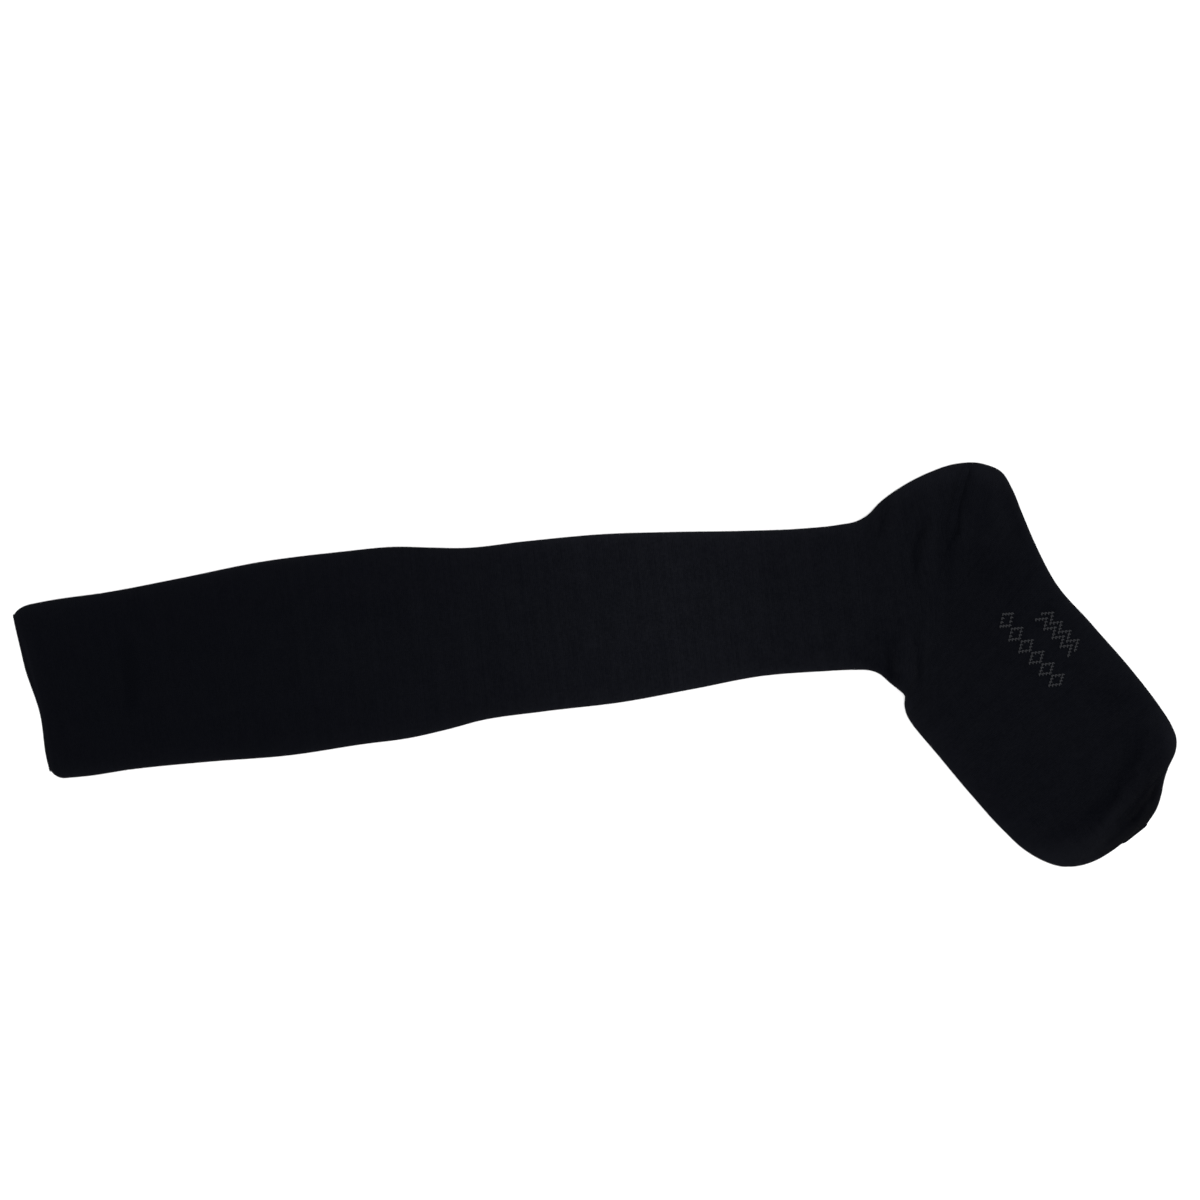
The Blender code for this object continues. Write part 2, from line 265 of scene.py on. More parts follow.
FINE_CREASES = (
    # name, start_x, start_y, bend_x, bend_y, end_x, end_y, half_width, rise
    ("trough top", 185.5, 95.0, 181.5, 90.0, 178.5, 80.0, 3.2, -0.90),
    ("trough floor", 178.5, 83.0, 175.5, 75.0, 176.5, 65.0, 2.4, -0.90),
    ("trough knot", 177.0, 71.0, 176.5, 66.5, 175.0, 62.0, 2.4, -0.80),
    ("trough step", 173.5, 64.0, 171.0, 60.0, 171.5, 53.0, 2.2, -0.35),
    ("trough lip", 193.0, 92.0, 184.5, 78.0, 182.0, 62.0, 2.4, 0.25),
    ("heel crimp", 172.0, 58.0, 167.5, 52.0, 166.0, 42.0, 2.2, -0.35),
    ("heel tuck", 198.0, 90.0, 192.0, 80.0, 189.0, 70.0, 2.6, -0.35),
    ("inner hook", 157.5, 64.0, 160.0, 68.0, 165.5, 68.5, 1.8, -0.60),
    ("inner crimp", 157.5, 67.0, 156.2, 58.0, 155.6, 46.0, 1.5, -0.45),
    ("inner rib", 161.5, 64.0, 160.0, 56.0, 160.5, 48.0, 2.0, 0.25),
    ("step crease", 146.5, 84.5, 144.0, 78.0, 141.5, 69.0, 1.6, -0.50),
    ("step rib", 150.0, 82.0, 148.0, 74.0, 148.5, 64.0, 2.4, 0.20),
    ("heel drift", 171.0, 48.0, 168.5, 36.0, 170.0, 24.0, 3.4, -0.30),
    ("heel slack", 184.0, 62.0, 187.0, 52.0, 186.0, 40.0, 6.0, -0.30),
    ("ankle pinch", 138.0, -5.0, 139.0, 5.0, 139.5, 16.0, 3.4, -0.80),
    ("ankle tuck", 150.7, -8.0, 152.2, 8.0, 152.2, 22.0, 2.8, -0.85),
    ("ankle nip", 134.0, 6.0, 132.0, 14.0, 133.5, 23.0, 2.4, -0.35),
    ("ankle pull", 136.0, 27.0, 144.0, 24.0, 152.0, 31.0, 3.5, -0.35),
    ("ankle rib", 148.0, 14.0, 150.0, 22.0, 146.0, 31.0, 2.2, 0.25),
    ("instep draw", 160.0, -24.0, 162.0, -8.0, 158.0, 8.0, 5.5, -0.18),
    ("sole dip", 214.0, 46.0, 213.0, 22.0, 226.0, -6.0, 8.0, -0.30),
    ("foot swell", 172.0, -46.0, 190.0, -40.0, 214.0, -28.0, 12.0, 0.30),
    ("toe dimple", 238.0, -64.0, 235.5, -69.0, 231.0, -72.5, 2.4, -0.50),
    ("toe crimp", 228.0, -66.0, 225.0, -71.0, 219.0, -75.0, 2.2, -0.30),
    ("toe line", 254.0, -36.0, 249.0, -49.0, 243.0, -60.0, 2.6, -0.35),
    ("toe rib", 233.0, -46.0, 226.0, -45.0, 219.0, -46.5, 1.8, 0.25),
    ("toe furrow", 229.0, -50.0, 223.0, -50.5, 217.0, -50.0, 1.6, -0.30),
    ("cap dent", 247.0, -75.0, 244.0, -78.5, 240.5, -80.0, 2.8, -0.90),
    ("cap hollow", 256.5, -62.5, 254.0, -67.0, 252.0, -71.0, 2.4, -0.90),
    ("cap crease", 252.0, -69.0, 249.0, -71.5, 246.0, -76.0, 2.0, -0.40),
    ("cap dimple", 238.0, -82.0, 232.0, -86.5, 227.0, -89.0, 2.4, -0.35),
    ("band dent", -217.5, 58.0, -216.0, 44.0, -218.0, 28.0, 4.0, -0.70),
    ("knee drift", -200.0, 20.0, -172.0, 26.0, -140.0, 20.0, 9.0, 0.22),
    ("calf drift", -150.0, 66.0, -112.0, 58.0, -72.0, 64.0, 11.0, -0.25),
    ("shin drift", -40.0, 30.0, 0.0, 38.0, 44.0, 30.0, 12.0, 0.22),
    ("shin wave", 52.0, 62.0, 76.0, 55.0, 104.0, 58.0, 8.0, -0.22),
    ("ankle wave", 84.0, 22.0, 102.0, 28.0, 122.0, 24.0, 7.0, 0.22),
)

# %% [markdown]
# ## Puckers along the toe seam
#
# The linking thread draws the cloth in, so short puckers stand square to the seam on both
# sides of it. No two are alike. A loop with a fixed seed spreads them along the seam, which
# is quicker than a table and comes out the same each time.

# %% Seam puckers
PUCKERS = 15  # along the seam, edge to edge
PUCKER_SEED = 4
PUCKER_LENGTHS = (4.0, 9.0)  # shortest and longest
PUCKER_HALF_WIDTHS = (1.2, 1.9)
PUCKER_RISES = (-0.42, -0.16)
PUCKER_EDGE = 6.0  # none closer than this to the folded edges
PUCKER_STRAY = (0.2, 0.8)  # where each one stands in its own share of the seam
PUCKER_BEND = 1.0  # how far its middle strays, to either side


def seam_puckers():
    """Rows for short troughs on both sides of the toe seam, unevenly spaced."""
    draw = random.Random(PUCKER_SEED)
    line = lines_at([PLACE_OF["toe seam"]])
    width, across, onward = (value[0] for value in directions(line))
    pitch = (width[0] - 2 * PUCKER_EDGE) / PUCKERS
    puckers = []
    for index in range(PUCKERS):
        side = -1 if index % 2 else 1
        place = PUCKER_EDGE + (index + draw.uniform(*PUCKER_STRAY)) * pitch
        start = line.front[0] + across * place + onward * side
        end = start + onward * side * draw.uniform(*PUCKER_LENGTHS)
        bend = (start + end) / 2 + across * draw.uniform(-PUCKER_BEND, PUCKER_BEND)
        half_width = draw.uniform(*PUCKER_HALF_WIDTHS)
        rise = draw.uniform(*PUCKER_RISES)
        puckers.append((f"pucker {index}", *start, *bend, *end, half_width, rise))
    return puckers


def fold_path(fold):
    """Points along a fold's bent line, a smooth arc pulled towards its bend."""
    t = np.linspace(0.0, 1.0, FOLD_PATH_POINTS)[:, None]
    start, bend, end = (np.array(fold[i : i + 2]) for i in (1, 3, 5))
    return (1 - t) ** 2 * start + 2 * t * (1 - t) * bend + t**2 * end


def with_paths(rows):
    """Each row as a fold, together with its bent line."""
    folds = [Fold(*row) for row in rows]
    return [(fold, fold_path(fold)) for fold in folds]


FOLDS = with_paths((*LARGE_FOLDS, *FINE_CREASES, *seam_puckers()))
print(len(FOLDS), "folds, creases and puckers")

# %% [markdown]
# ## How far the cloth rises at a place
#
# For every point of the upper layer this finds the nearest place on each fold's line. The
# rise is largest there and fades over the fold's half width, and towards its two ends. Under
# the folds lies a very gentle unevenness, because knit never lies as flat as a board.

# %% Fold and sag heights
SAG = 0.20  # the unevenness, up or down
SAG_SIZE = 26.0  # from one high place to the next
SAG_SLICE = 0.5  # where the noise is cut


def fold_heights(points, folds):
    """The sum of the folds' rises at these places in plan."""
    total = np.zeros(len(points))
    for fold, path in folds:
        low, high = path.min(0) - fold.half_width, path.max(0) + fold.half_width
        near = np.flatnonzero(np.all((points > low) & (points < high), axis=1))
        if not len(near):
            continue
        starts, steps = path[:-1], np.diff(path, axis=0)
        offsets = points[near][:, None, :] - starts
        along = np.sum(offsets * steps, axis=2) / np.sum(steps * steps, axis=1)
        along = np.clip(along, 0.0, 1.0)
        gaps = np.linalg.norm(offsets - along[:, :, None] * steps, axis=2)
        nearest = np.argmin(gaps, axis=1)
        rows = np.arange(len(near))
        share = (nearest + along[rows, nearest]) / len(steps)
        fade = np.sin(math.pi * (FOLD_TAPER + (1 - 2 * FOLD_TAPER) * share))
        reach = gaps[rows, nearest] / fold.half_width
        total[near] += fold.rise * fade * hump(reach)
    return total


def sag_heights(points):
    """A slow unevenness of the cloth, the same on every run."""
    scaled = points / SAG_SIZE
    return np.array([SAG * noise.noise(Vector((x, y, SAG_SLICE))) for x, y in scaled])


# %% [markdown]
# ## Painted light and shade
#
# The knit's colour carries painted light and shade. It is painted paler where light catches the
# toes, the heel and the rims, and painted darker where shade falls in creases and on slopes
# turned from the light. The rows below are written like folds, but their last number is how much
# paler the yarn is painted, not a height. The creases are painted darker by their own depth, and
# the ridges paler by their height. The sum is stored on the mesh for the material.

# %% The yarn's painted light and shade at a place
CREASE_SHADING = 0.11  # painted shade: how much darker the yarn is painted for each millimetre of a crease's depth, and paler for each of a ridge's height

PAINTED_LIGHT_AND_SHADE = with_paths((
    # name, start_x, start_y, bend_x, bend_y, end_x, end_y, half_width, painted paleness
    ("toe rim", 199.0, -90.0, 218.0, -100.0, 239.0, -89.0, 13.0, 0.44),
    ("toe corner", 263.0, -31.0, 272.0, -44.0, 261.0, -61.0, 6.5, 0.46),
    ("seam rim", 243.0, -62.0, 237.0, -75.0, 224.0, -86.0, 4.5, 0.16),
    ("heel rim", 148.0, 84.0, 174.0, 103.0, 203.0, 87.0, 11.0, 0.22),
    ("heel edge", 200.0, 85.0, 203.5, 72.0, 207.0, 58.0, 6.0, -0.13),
    ("heel shaded", 170.0, 42.0, 206.0, 58.0, 200.0, 12.0, 18.0, -0.09),
    ("sole shaded", 158.0, 30.0, 182.0, 26.0, 196.0, 0.0, 16.0, -0.05),
    ("sole patch", 232.0, -20.0, 241.0, -19.0, 250.0, -24.0, 9.0, -0.10),
    ("calf edge", -102.0, 90.0, -80.0, 90.0, -54.0, 86.0, 5.0, -0.20),
    ("band trace", -217.0, 62.0, -214.0, 45.0, -218.0, 26.0, 6.0, -0.12),
    ("top edge rim", -259.0, -2.0, -263.0, 40.0, -268.0, 82.0, 9.0, 0.11),
    ("cap shade", 252.5, -63.0, 248.5, -73.0, 240.0, -79.5, 4.5, -0.24),
    ("ankle shade", 126.0, 14.0, 136.0, 2.0, 146.0, -6.0, 7.0, -0.24),
    ("ankle fold shade", 128.0, 23.0, 138.0, 20.0, 147.0, 15.0, 7.0, -0.10),
    ("trough shade", 180.0, 85.0, 176.8, 75.0, 176.8, 64.0, 2.3, -0.16),
    ("trough head shade", 180.5, 96.0, 184.0, 92.0, 190.0, 87.0, 4.5, -0.13),
    ("heel ridge shade", 169.0, 78.0, 170.0, 62.0, 165.0, 42.0, 3.5, -0.08),
    ("heel shoulder", 191.0, 91.0, 200.0, 90.0, 197.0, 78.0, 6.5, 0.11),
    ("heel ridge rim", 166.0, 92.0, 166.0, 86.0, 167.5, 80.0, 4.0, 0.11),
    ("heel start glow", 144.0, 84.0, 150.0, 72.0, 146.0, 56.0, 10.0, 0.05),
    ("trough floor glow", 174.5, 60.0, 174.0, 52.0, 172.5, 44.0, 2.8, 0.07),
    ("under heel shade", 211.0, 51.0, 209.0, 44.0, 206.0, 36.0, 5.0, -0.08),
    ("instep rim", 144.6, -9.0, 144.5, -15.0, 147.5, -25.0, 3.0, 0.15),
    ("toe shade", 243.5, -36.0, 245.0, -43.0, 241.0, -51.0, 4.0, -0.10),
    ("toe corner shade", 256.0, -50.0, 254.0, -56.0, 251.0, -61.0, 3.5, -0.07),
    ("toe base glow", 249.0, -29.0, 259.0, -33.0, 262.0, -46.0, 6.0, 0.09),
    ("toe front shade", 198.0, -84.0, 205.0, -85.0, 212.0, -79.0, 5.0, -0.10),
    ("toe front glow", 212.0, -87.0, 226.0, -87.0, 234.0, -76.0, 5.5, 0.13),
    ("cap rim", 262.0, -59.0, 258.0, -70.0, 251.0, -77.5, 2.4, 0.16),
    ("calf fold", -40.0, 83.3, 20.0, 83.5, 88.0, 75.5, 4.0, 0.14),
    ("calf fold above", -200.0, 84.5, -150.0, 90.0, -108.0, 88.5, 2.6, 0.12),
    ("calf glow", -92.0, 22.0, -118.0, 44.0, -140.0, 68.0, 34.0, 0.03),
    ("ankle top shade", 92.0, 16.0, 92.0, 40.0, 92.0, 68.0, 14.0, -0.07),
    ("edge loop rim", -257.9, -1.2, -258.1, 39.0, -267.5, 80.9, 1.4, 0.22),
))


def paleness_at(points):
    """How much paler the yarn is painted at these places in plan: painted light and shade."""
    return CREASE_SHADING * fold_heights(points, FOLDS) + fold_heights(points, PAINTED_LIGHT_AND_SHADE)


# %% [markdown]
# ## Rings of cloth
#
# A ring runs over the upper layer, round the folded back edge, under, and round the front
# edge. The columns of points stay in the same order all along the tube, so each column
# follows a column of stitches. A ring can also lie inside the cloth, which makes the inner
# side of the wall and the rounded rims from the same lines.

# %% Ring points
TOP_POINTS = 97  # across the upper layer
EDGE_POINTS = 9  # inside each folded edge
UNDER_POINTS = 33  # across the flat lower layer
COLUMNS = TOP_POINTS + UNDER_POINTS + 2 * EDGE_POINTS

EDGE_TURNS = math.pi * np.arange(1, EDGE_POINTS + 1) / (EDGE_POINTS + 1)
LIFT_OF_COLUMN = np.concatenate([
    np.ones(TOP_POINTS),
    (1 + np.cos(EDGE_TURNS)) / 2,
    np.zeros(UNDER_POINTS),
    (1 - np.cos(EDGE_TURNS)) / 2,
])

EDGE_SPREAD = 2.2  # the folded edges are this much longer than a half circle
EDGE_WAVE_PLACE = 0.36  # share of the width, from the front edge
EDGE_WAVE_REACH = 0.33  # share of the width, to each side


def wave_share(share):
    """How much of the top edge's wave a place across the width takes, from 0 to 1."""
    return hump(np.abs(share - EDGE_WAVE_PLACE) / EDGE_WAVE_REACH)


def ring_profiles(lines, depth):
    """Rings seen along the tube: place across and height."""
    width = directions(lines)[0]
    bend = lines.edge[:, None] / 2
    spread = np.minimum(bend * EDGE_SPREAD, width / 4)
    rise, reach = np.maximum(bend - depth, 0.0), np.maximum(spread - depth, 0.0)
    sines, cosines = np.sin(EDGE_TURNS)[None, :], np.cos(EDGE_TURNS)[None, :]
    top = spread + np.linspace(0.0, 1.0, TOP_POINTS)[None, :] * (width - 2 * spread)
    inwards = np.minimum(top, width - top) - spread
    shoulder = (lines.edge - lines.middle)[:, None] * np.exp(-((inwards / SHOULDER) ** 2))
    under = spread + np.linspace(1.0, 0.0, UNDER_POINTS)[None, :] * (width - 2 * spread)
    parts = (
        (top, lines.middle[:, None] + shoulder - depth),
        (width - spread + reach * sines, bend + rise * cosines),
        (under, depth + 0 * under),
        (spread - reach * sines, bend - rise * cosines),
    )
    return (np.concatenate(columns, axis=1) for columns in zip(*parts))


def ring_points(lines, wall, depths):
    """The rings' points in millimetres, as rings by columns by axes."""
    depth = np.zeros(len(lines.middle))[:, None] + np.asarray(depths, float).reshape(-1, 1)
    width, across, onward = directions(lines)
    place, height = ring_profiles(lines, depth)
    wave = (lines.wave[:, None] * wave_share(place / width))[:, :, None]
    plan = lines.front[:, None] + across[:, None] * place[:, :, None] + onward[:, None] * wave
    lifted = LIFT_OF_COLUMN > 0
    flat = plan[:, lifted].reshape(-1, 2)
    rise = fold_heights(flat, FOLDS) + sag_heights(flat)
    height[:, lifted] += LIFT_OF_COLUMN[lifted] * rise.reshape(len(height), -1)
    lowest = LEAST_HOLLOW + 2 * wall - depth
    height = np.where(LIFT_OF_COLUMN == 1.0, np.maximum(height, lowest), height)
    return np.concatenate([plan, height[:, :, None]], axis=2)


print(COLUMNS, "points in each ring")

# %% [markdown]
# ## Counting stitches round and along the tube
#
# A circular machine knits with a fixed ring of needles, so every round of the stocking has
# the same number of stitches: 144 here. The UV map counts in stitches. U is the stitch's
# number round the tube, and V is the number of rounds from the top edge. At the heel the
# rounds of the leg and those of the foot meet at an angle along a mitre, as in real knitting,
# so V counts on from the leg on one side of it and back from the foot on the other.

# %% Stitch counts
NEEDLES = 144
ROUND = 0.85  # height of one round of stitches


def stitch_columns():
    """Each column's stitch number round the tube, by its share of a ring's length."""
    ring = ring_points(lines_at([PLACE_OF["mid shin"]]), LEG_WALL, [0.0])[0]
    gaps = np.linalg.norm(np.diff(np.vstack([ring, ring[:1]]), axis=0)[:, :2], axis=1)
    heights = np.abs(np.diff(np.append(ring[:, 2], ring[0, 2])))
    lengths = np.hypot(gaps, np.where(gaps > heights, 0.0, heights))
    return NEEDLES * np.concatenate([[0.0], np.cumsum(lengths)]) / lengths.sum()


STITCH_OF_COLUMN = stitch_columns()


def rounds_of_rings(points, places):
    """The round at each ring and column: counted on from the leg, and back from the toe."""
    steps = np.linalg.norm(np.diff(points, axis=0), axis=2)
    travelled = np.vstack([np.zeros(points.shape[1]), np.cumsum(steps, axis=0)])
    counts = []
    for anchor, beyond in (("ankle", 1), ("arch start", -1)):
        row = int(np.argmin(np.abs(places - PLACE_OF[anchor])))
        by_column = places[row] + travelled - travelled[row]
        past = ((places - places[row]) * beyond > 0)[:, None]
        counts.append(np.where(past, by_column, places[:, None] + 0 * by_column) / ROUND)
    return counts


def plain_rounds(places):
    """The round at each ring, the same in every column."""
    return np.tile((places / ROUND)[:, None], COLUMNS)


print(f"{NEEDLES} stitches round and {PLACES[-1] / ROUND:.0f} rounds along")

# %% [markdown]
# ## From rings to a shell
#
# A cloth wall is a stack of rings: along the outer side, round one rim, back along the inner
# side and round the other rim. Joining each ring to the next, and the last to the first,
# closes the wall. The toe cap has no far rim, so both of its sides end in a small face.

# %% Shell meshes
UV_NAME = "stitches"
PALENESS = "paleness"


def store_paleness(mesh, values):
    """Keeps the yarn's painted light and shade on the mesh's points, for the materials."""
    mesh.attributes.new(PALENESS, "FLOAT", "POINT").data.foreach_set("value", values)


def shell_mesh(name, points, starts, ends, around):
    """Joins rings of points to a closed skin, with the stitch counts at each strip's two rings."""
    rings, columns = points.shape[:2]
    index = np.arange(rings * columns).reshape(rings, columns)
    after = np.roll(index, -1, axis=1)
    near = np.arange(rings if around else rings - 1)
    far = (near + 1) % rings
    quads = np.stack([index[near], after[near], after[far], index[far]], axis=2)
    faces = quads.reshape(-1, 4).tolist()
    if not around:
        faces += [index[0][::-1].tolist(), index[-1].tolist()]
    mesh = bpy.data.meshes.new(name)
    mesh.from_pydata((points.reshape(-1, 3) * MM).tolist(), [], faces)

    left = np.tile(STITCH_OF_COLUMN[:-1], (len(near), 1))
    right = np.tile(STITCH_OF_COLUMN[1:], (len(near), 1))
    start, end = starts[near], ends[near]
    across = np.stack([left, right, right, left], axis=2)
    along = np.stack([start, np.roll(start, -1, axis=1), np.roll(end, -1, axis=1), end], axis=2)
    counts = np.zeros((len(mesh.loops), 2), np.float32)
    counts[: quads.size, 0] = across.ravel()
    counts[: quads.size, 1] = along.ravel()
    mesh.uv_layers.new(name=UV_NAME).data.foreach_set("uv", counts.ravel())

    # painted light and shade on the upper layer, fading round the folded edges to none on the
    # lower layer
    pale = paleness_at(points[:, :, :2].reshape(-1, 2)).reshape(rings, columns)
    store_paleness(mesh, (pale * LIFT_OF_COLUMN).ravel())
    mesh.shade_smooth()
    return turned_outwards(mesh)


def turned_outwards(mesh):
    """Makes sure that a closed skin's faces point away from the cloth."""
    work = bmesh.new()
    work.from_mesh(mesh)
    if work.calc_volume(signed=True) < 0:
        bmesh.ops.reverse_faces(work, faces=work.faces)
        work.to_mesh(mesh)
    work.free()
    print(f"{mesh.name}: {len(mesh.polygons)} faces")
    return mesh


def linked(name, data):
    """A new object in the scene."""
    item = bpy.data.objects.new(name, data)
    bpy.context.scene.collection.objects.link(item)
    return item


def shown(mesh, material):
    """Puts a finished mesh in the scene as a piece of its own."""
    mesh.materials.clear()
    mesh.materials.append(material)
    return linked(mesh.name, mesh)


# %% [markdown]
# ## Nodes written as sums
#
# A knit is a small piece of arithmetic on the stitch counts. The class below wraps a socket,
# so that the shader's sums can be written as plain Python, and a helper adds every other
# node from its type, its settings and its inputs.

# %% Helpers for node trees
class Number:
    """A socket that carries a number. Arithmetic on it adds Math nodes."""

    def __init__(self, nodes, socket):
        self.nodes = nodes
        self.socket = socket

    def math(self, operation, *others):
        """The result of a Math node on this number and the others."""
        inputs = dict(enumerate((self, *others)))
        return self.nodes.number("ShaderNodeMath", inputs, operation=operation)

    def clipped(self):
        """The same number, never below 0 or above 1."""
        return self.math("MAXIMUM", 0.0).math("MINIMUM", 1.0)

    def __add__(self, other):
        return self.math("ADD", other)

    def __sub__(self, other):
        return self.math("SUBTRACT", other)

    def __mul__(self, other):
        return self.math("MULTIPLY", other)

    def __rsub__(self, other):
        return self.nodes.number("ShaderNodeMath", {0: other, 1: self}, operation="SUBTRACT")

    __radd__ = __add__
    __rmul__ = __mul__


class Nodes:
    """Adds nodes to a tree."""

    def __init__(self, tree):
        self.tree = tree

    def node(self, kind, inputs=None, **settings):
        """A new node. Its settings come first, then each input's value or link."""
        node = self.tree.nodes.new(kind)
        for name, value in settings.items():
            setattr(node, name, value)
        for key, value in (inputs or {}).items():
            if isinstance(value, bpy.types.Node):
                value = value.outputs[0]  # a node stands for its first output
            source = getattr(value, "socket", value)
            if isinstance(source, bpy.types.NodeSocket):
                self.tree.links.new(source, node.inputs[key])
            else:
                node.inputs[key].default_value = source
        return node

    def number(self, kind, inputs=None, output=0, **settings):
        """The number that a new node gives."""
        return Number(self, self.node(kind, inputs, **settings).outputs[output])

    def blend(self, share, one, other):
        """A colour between two colours."""
        colours = {0: share, 6: one, 7: other}  # a Mix node keeps its colours' sockets there
        return self.node("ShaderNodeMix", colours, data_type="RGBA").outputs[2]


def new_material(name):
    """A material with an empty tree, and what adds its nodes."""
    material = bpy.data.materials.new(name)
    material.use_nodes = True
    material.node_tree.nodes.clear()
    return material, Nodes(material.node_tree)


# %% [markdown]
# ## The yarn
#
# The yarn is matt black with a blue cast. Its surface is rough and hardly shines, and its fuzz
# gives it a very faint sheen. Every finish of the stocking mixes a dark and a pale colour of
# the yarn and ends in this surface.

# %% The yarn's colours and surface
DARK_YARN = (0.0015, 0.0017, 0.0027, 1.0)
PALE_YARN = (0.0056, 0.0060, 0.0080, 1.0)
YARN_ROUGHNESS = 0.9
YARN_SPECULAR = 0.008
YARN_SHEEN = 0.009
SHEEN_ROUGHNESS = 0.4


def matt_surface(nodes, colour, bump):
    """Ends a finish in the yarn's surface."""
    inputs = {
        "Base Color": colour,
        "Roughness": YARN_ROUGHNESS,
        "Specular IOR Level": YARN_SPECULAR,
        "Sheen Weight": YARN_SHEEN,
        "Sheen Roughness": SHEEN_ROUGHNESS,
        "Normal": bump,
    }
    shader = nodes.node("ShaderNodeBsdfPrincipled", inputs)
    nodes.node("ShaderNodeOutputMaterial", {"Surface": shader})


def swing(value, weight):
    """A value from 0 to 1, made to swing to both sides of 0."""
    return (value - 0.5) * weight


# %% [markdown]
# ## The pattern of plain knit
#
# Plain knit shows columns of small V shapes: in each stitch two legs of yarn lean outwards
# from the middle. A sine makes each leg round, and the lean shifts the rounds up towards the
# stitch's sides. There are over a hundred thousand stitches, so the V shapes are a bump and
# the folds are real.

# %% The height of a stitch
LEG_LEAN = 0.55  # how far a stitch's outer side stands above its middle, in rounds
YARN_DIP = 0.65  # depth of the grooves beside each leg of yarn, as a share


def stitch_relief(wale, course):
    """Height from 0 to 1 of plain knit, from the stitch counts round and along the tube."""
    side = (wale.math("FRACT") - 0.5).math("ABSOLUTE") * 2
    along = (course - side * LEG_LEAN).math("FRACT")
    yarn = (along * math.pi).math("SINE")
    groove = (side * 2 - 1).math("POWER", 2) * YARN_DIP
    return yarn * (1 - groove)


# %% [markdown]
# ## Where the leg is paler, and along the folded edges
#
# The leg is paler in its middle than at the band, the ankle and the foot: partly because black
# elastic knit is greyer where it is stretched open, partly as painted light. Along the two folded
# edges the yarn is painted paler: a painted sheen, with some rubbed wear. Both are sums on places
# that the material already has: metres along the leg, and stitches round the tube.

# %% Paleness along the leg, sheen and wear at the edges
OPEN_AND_LIT_X = 0.040  # where the leg is palest: open knit and painted light
OPEN_AND_LIT_ABOVE = 0.275  # it grows darker over this distance towards the top band
OPEN_AND_LIT_BEND = 2.1  # quickly at first
OPEN_AND_LIT_BELOW = 0.185  # and it would grow darker evenly over this distance towards the heel
FOOT_OPEN_AND_LIT = 0.26  # but the foot stays this pale
# painted sheen along the two folded edges, with some rubbed wear
SHEEN_AND_WEAR_PALENESS = 0.33
SHEEN_AND_WEAR_REACH = 2.6  # stitches
SHEEN_AND_WEAR_SHIFT = (STITCH_OF_COLUMN[-1] - STITCH_OF_COLUMN[-EDGE_POINTS - 2]) / 2  # half a folded edge


def fall(distance, bend=1.0):
    """1 up to a distance of 0, then a fall to 0 at a distance of 1, bent by a power."""
    return (1 - distance).clipped().math("POWER", bend)


def openness_and_light(nodes, place):
    """How pale the leg is, from 0 to 1, by its place along the leg: partly open knit, partly
    painted light.
    """
    from_palest = nodes.number("ShaderNodeSeparateXYZ", {0: place}) - OPEN_AND_LIT_X
    towards_band = fall(from_palest * (-1 / OPEN_AND_LIT_ABOVE), OPEN_AND_LIT_BEND)
    towards_heel = fall(from_palest * (1 / OPEN_AND_LIT_BELOW)).math("MAXIMUM", FOOT_OPEN_AND_LIT)
    return towards_band * towards_heel


def sheen_and_wear(wale):
    """How much paler the yarn is painted, by its distance from the nearer folded edge: a painted
    sheen, with some rubbed wear.
    """
    from_fold = (wale + SHEEN_AND_WEAR_SHIFT).math("PINGPONG", NEEDLES / 4)
    return (from_fold * (-1 / SHEEN_AND_WEAR_REACH)).math("EXPONENT") * SHEEN_AND_WEAR_PALENESS


# %% [markdown]
# ## The knit's finish
#
# No two stitches hold the dye and the light alike. So the tone is uneven from place to place,
# from stitch to stitch and from round to round, and most of it shows where the leg is palest.
# Each stitch is also painted darker in its grooves and paler on its top: painted shade and light.
# The stitches' bump comes first, and a much finer bump for the fuzz lies on it.

# %% The knit
STITCH_RELIEF = 0.22 * MM
FUZZ_RELIEF = 0.05 * MM
FUZZ_SCALE = 2600.0  # per metre
MOTTLE_SCALE = 150.0
MOTTLE_DETAIL = 4.0
KNIT_TONE = 0.07  # between the dark and the pale yarn
# how much paler the leg's middle is: open knit and painted light
OPEN_AND_LIT_PALENESS = 0.50
PLACE_GRAIN = 0.50  # how much the tone differs from place to place
STITCH_GRAIN = 0.30  # from stitch to stitch
RELIEF_SHADING = 0.50  # painted shade at the bottom of a stitch and painted light on its top
ROUND_GRAIN = 0.16  # and from round to round
CLOSED_GRAIN = 0.22  # this share of the grain shows where the leg is darkest
OPEN_GRAIN = 0.75  # and this much more where it is palest


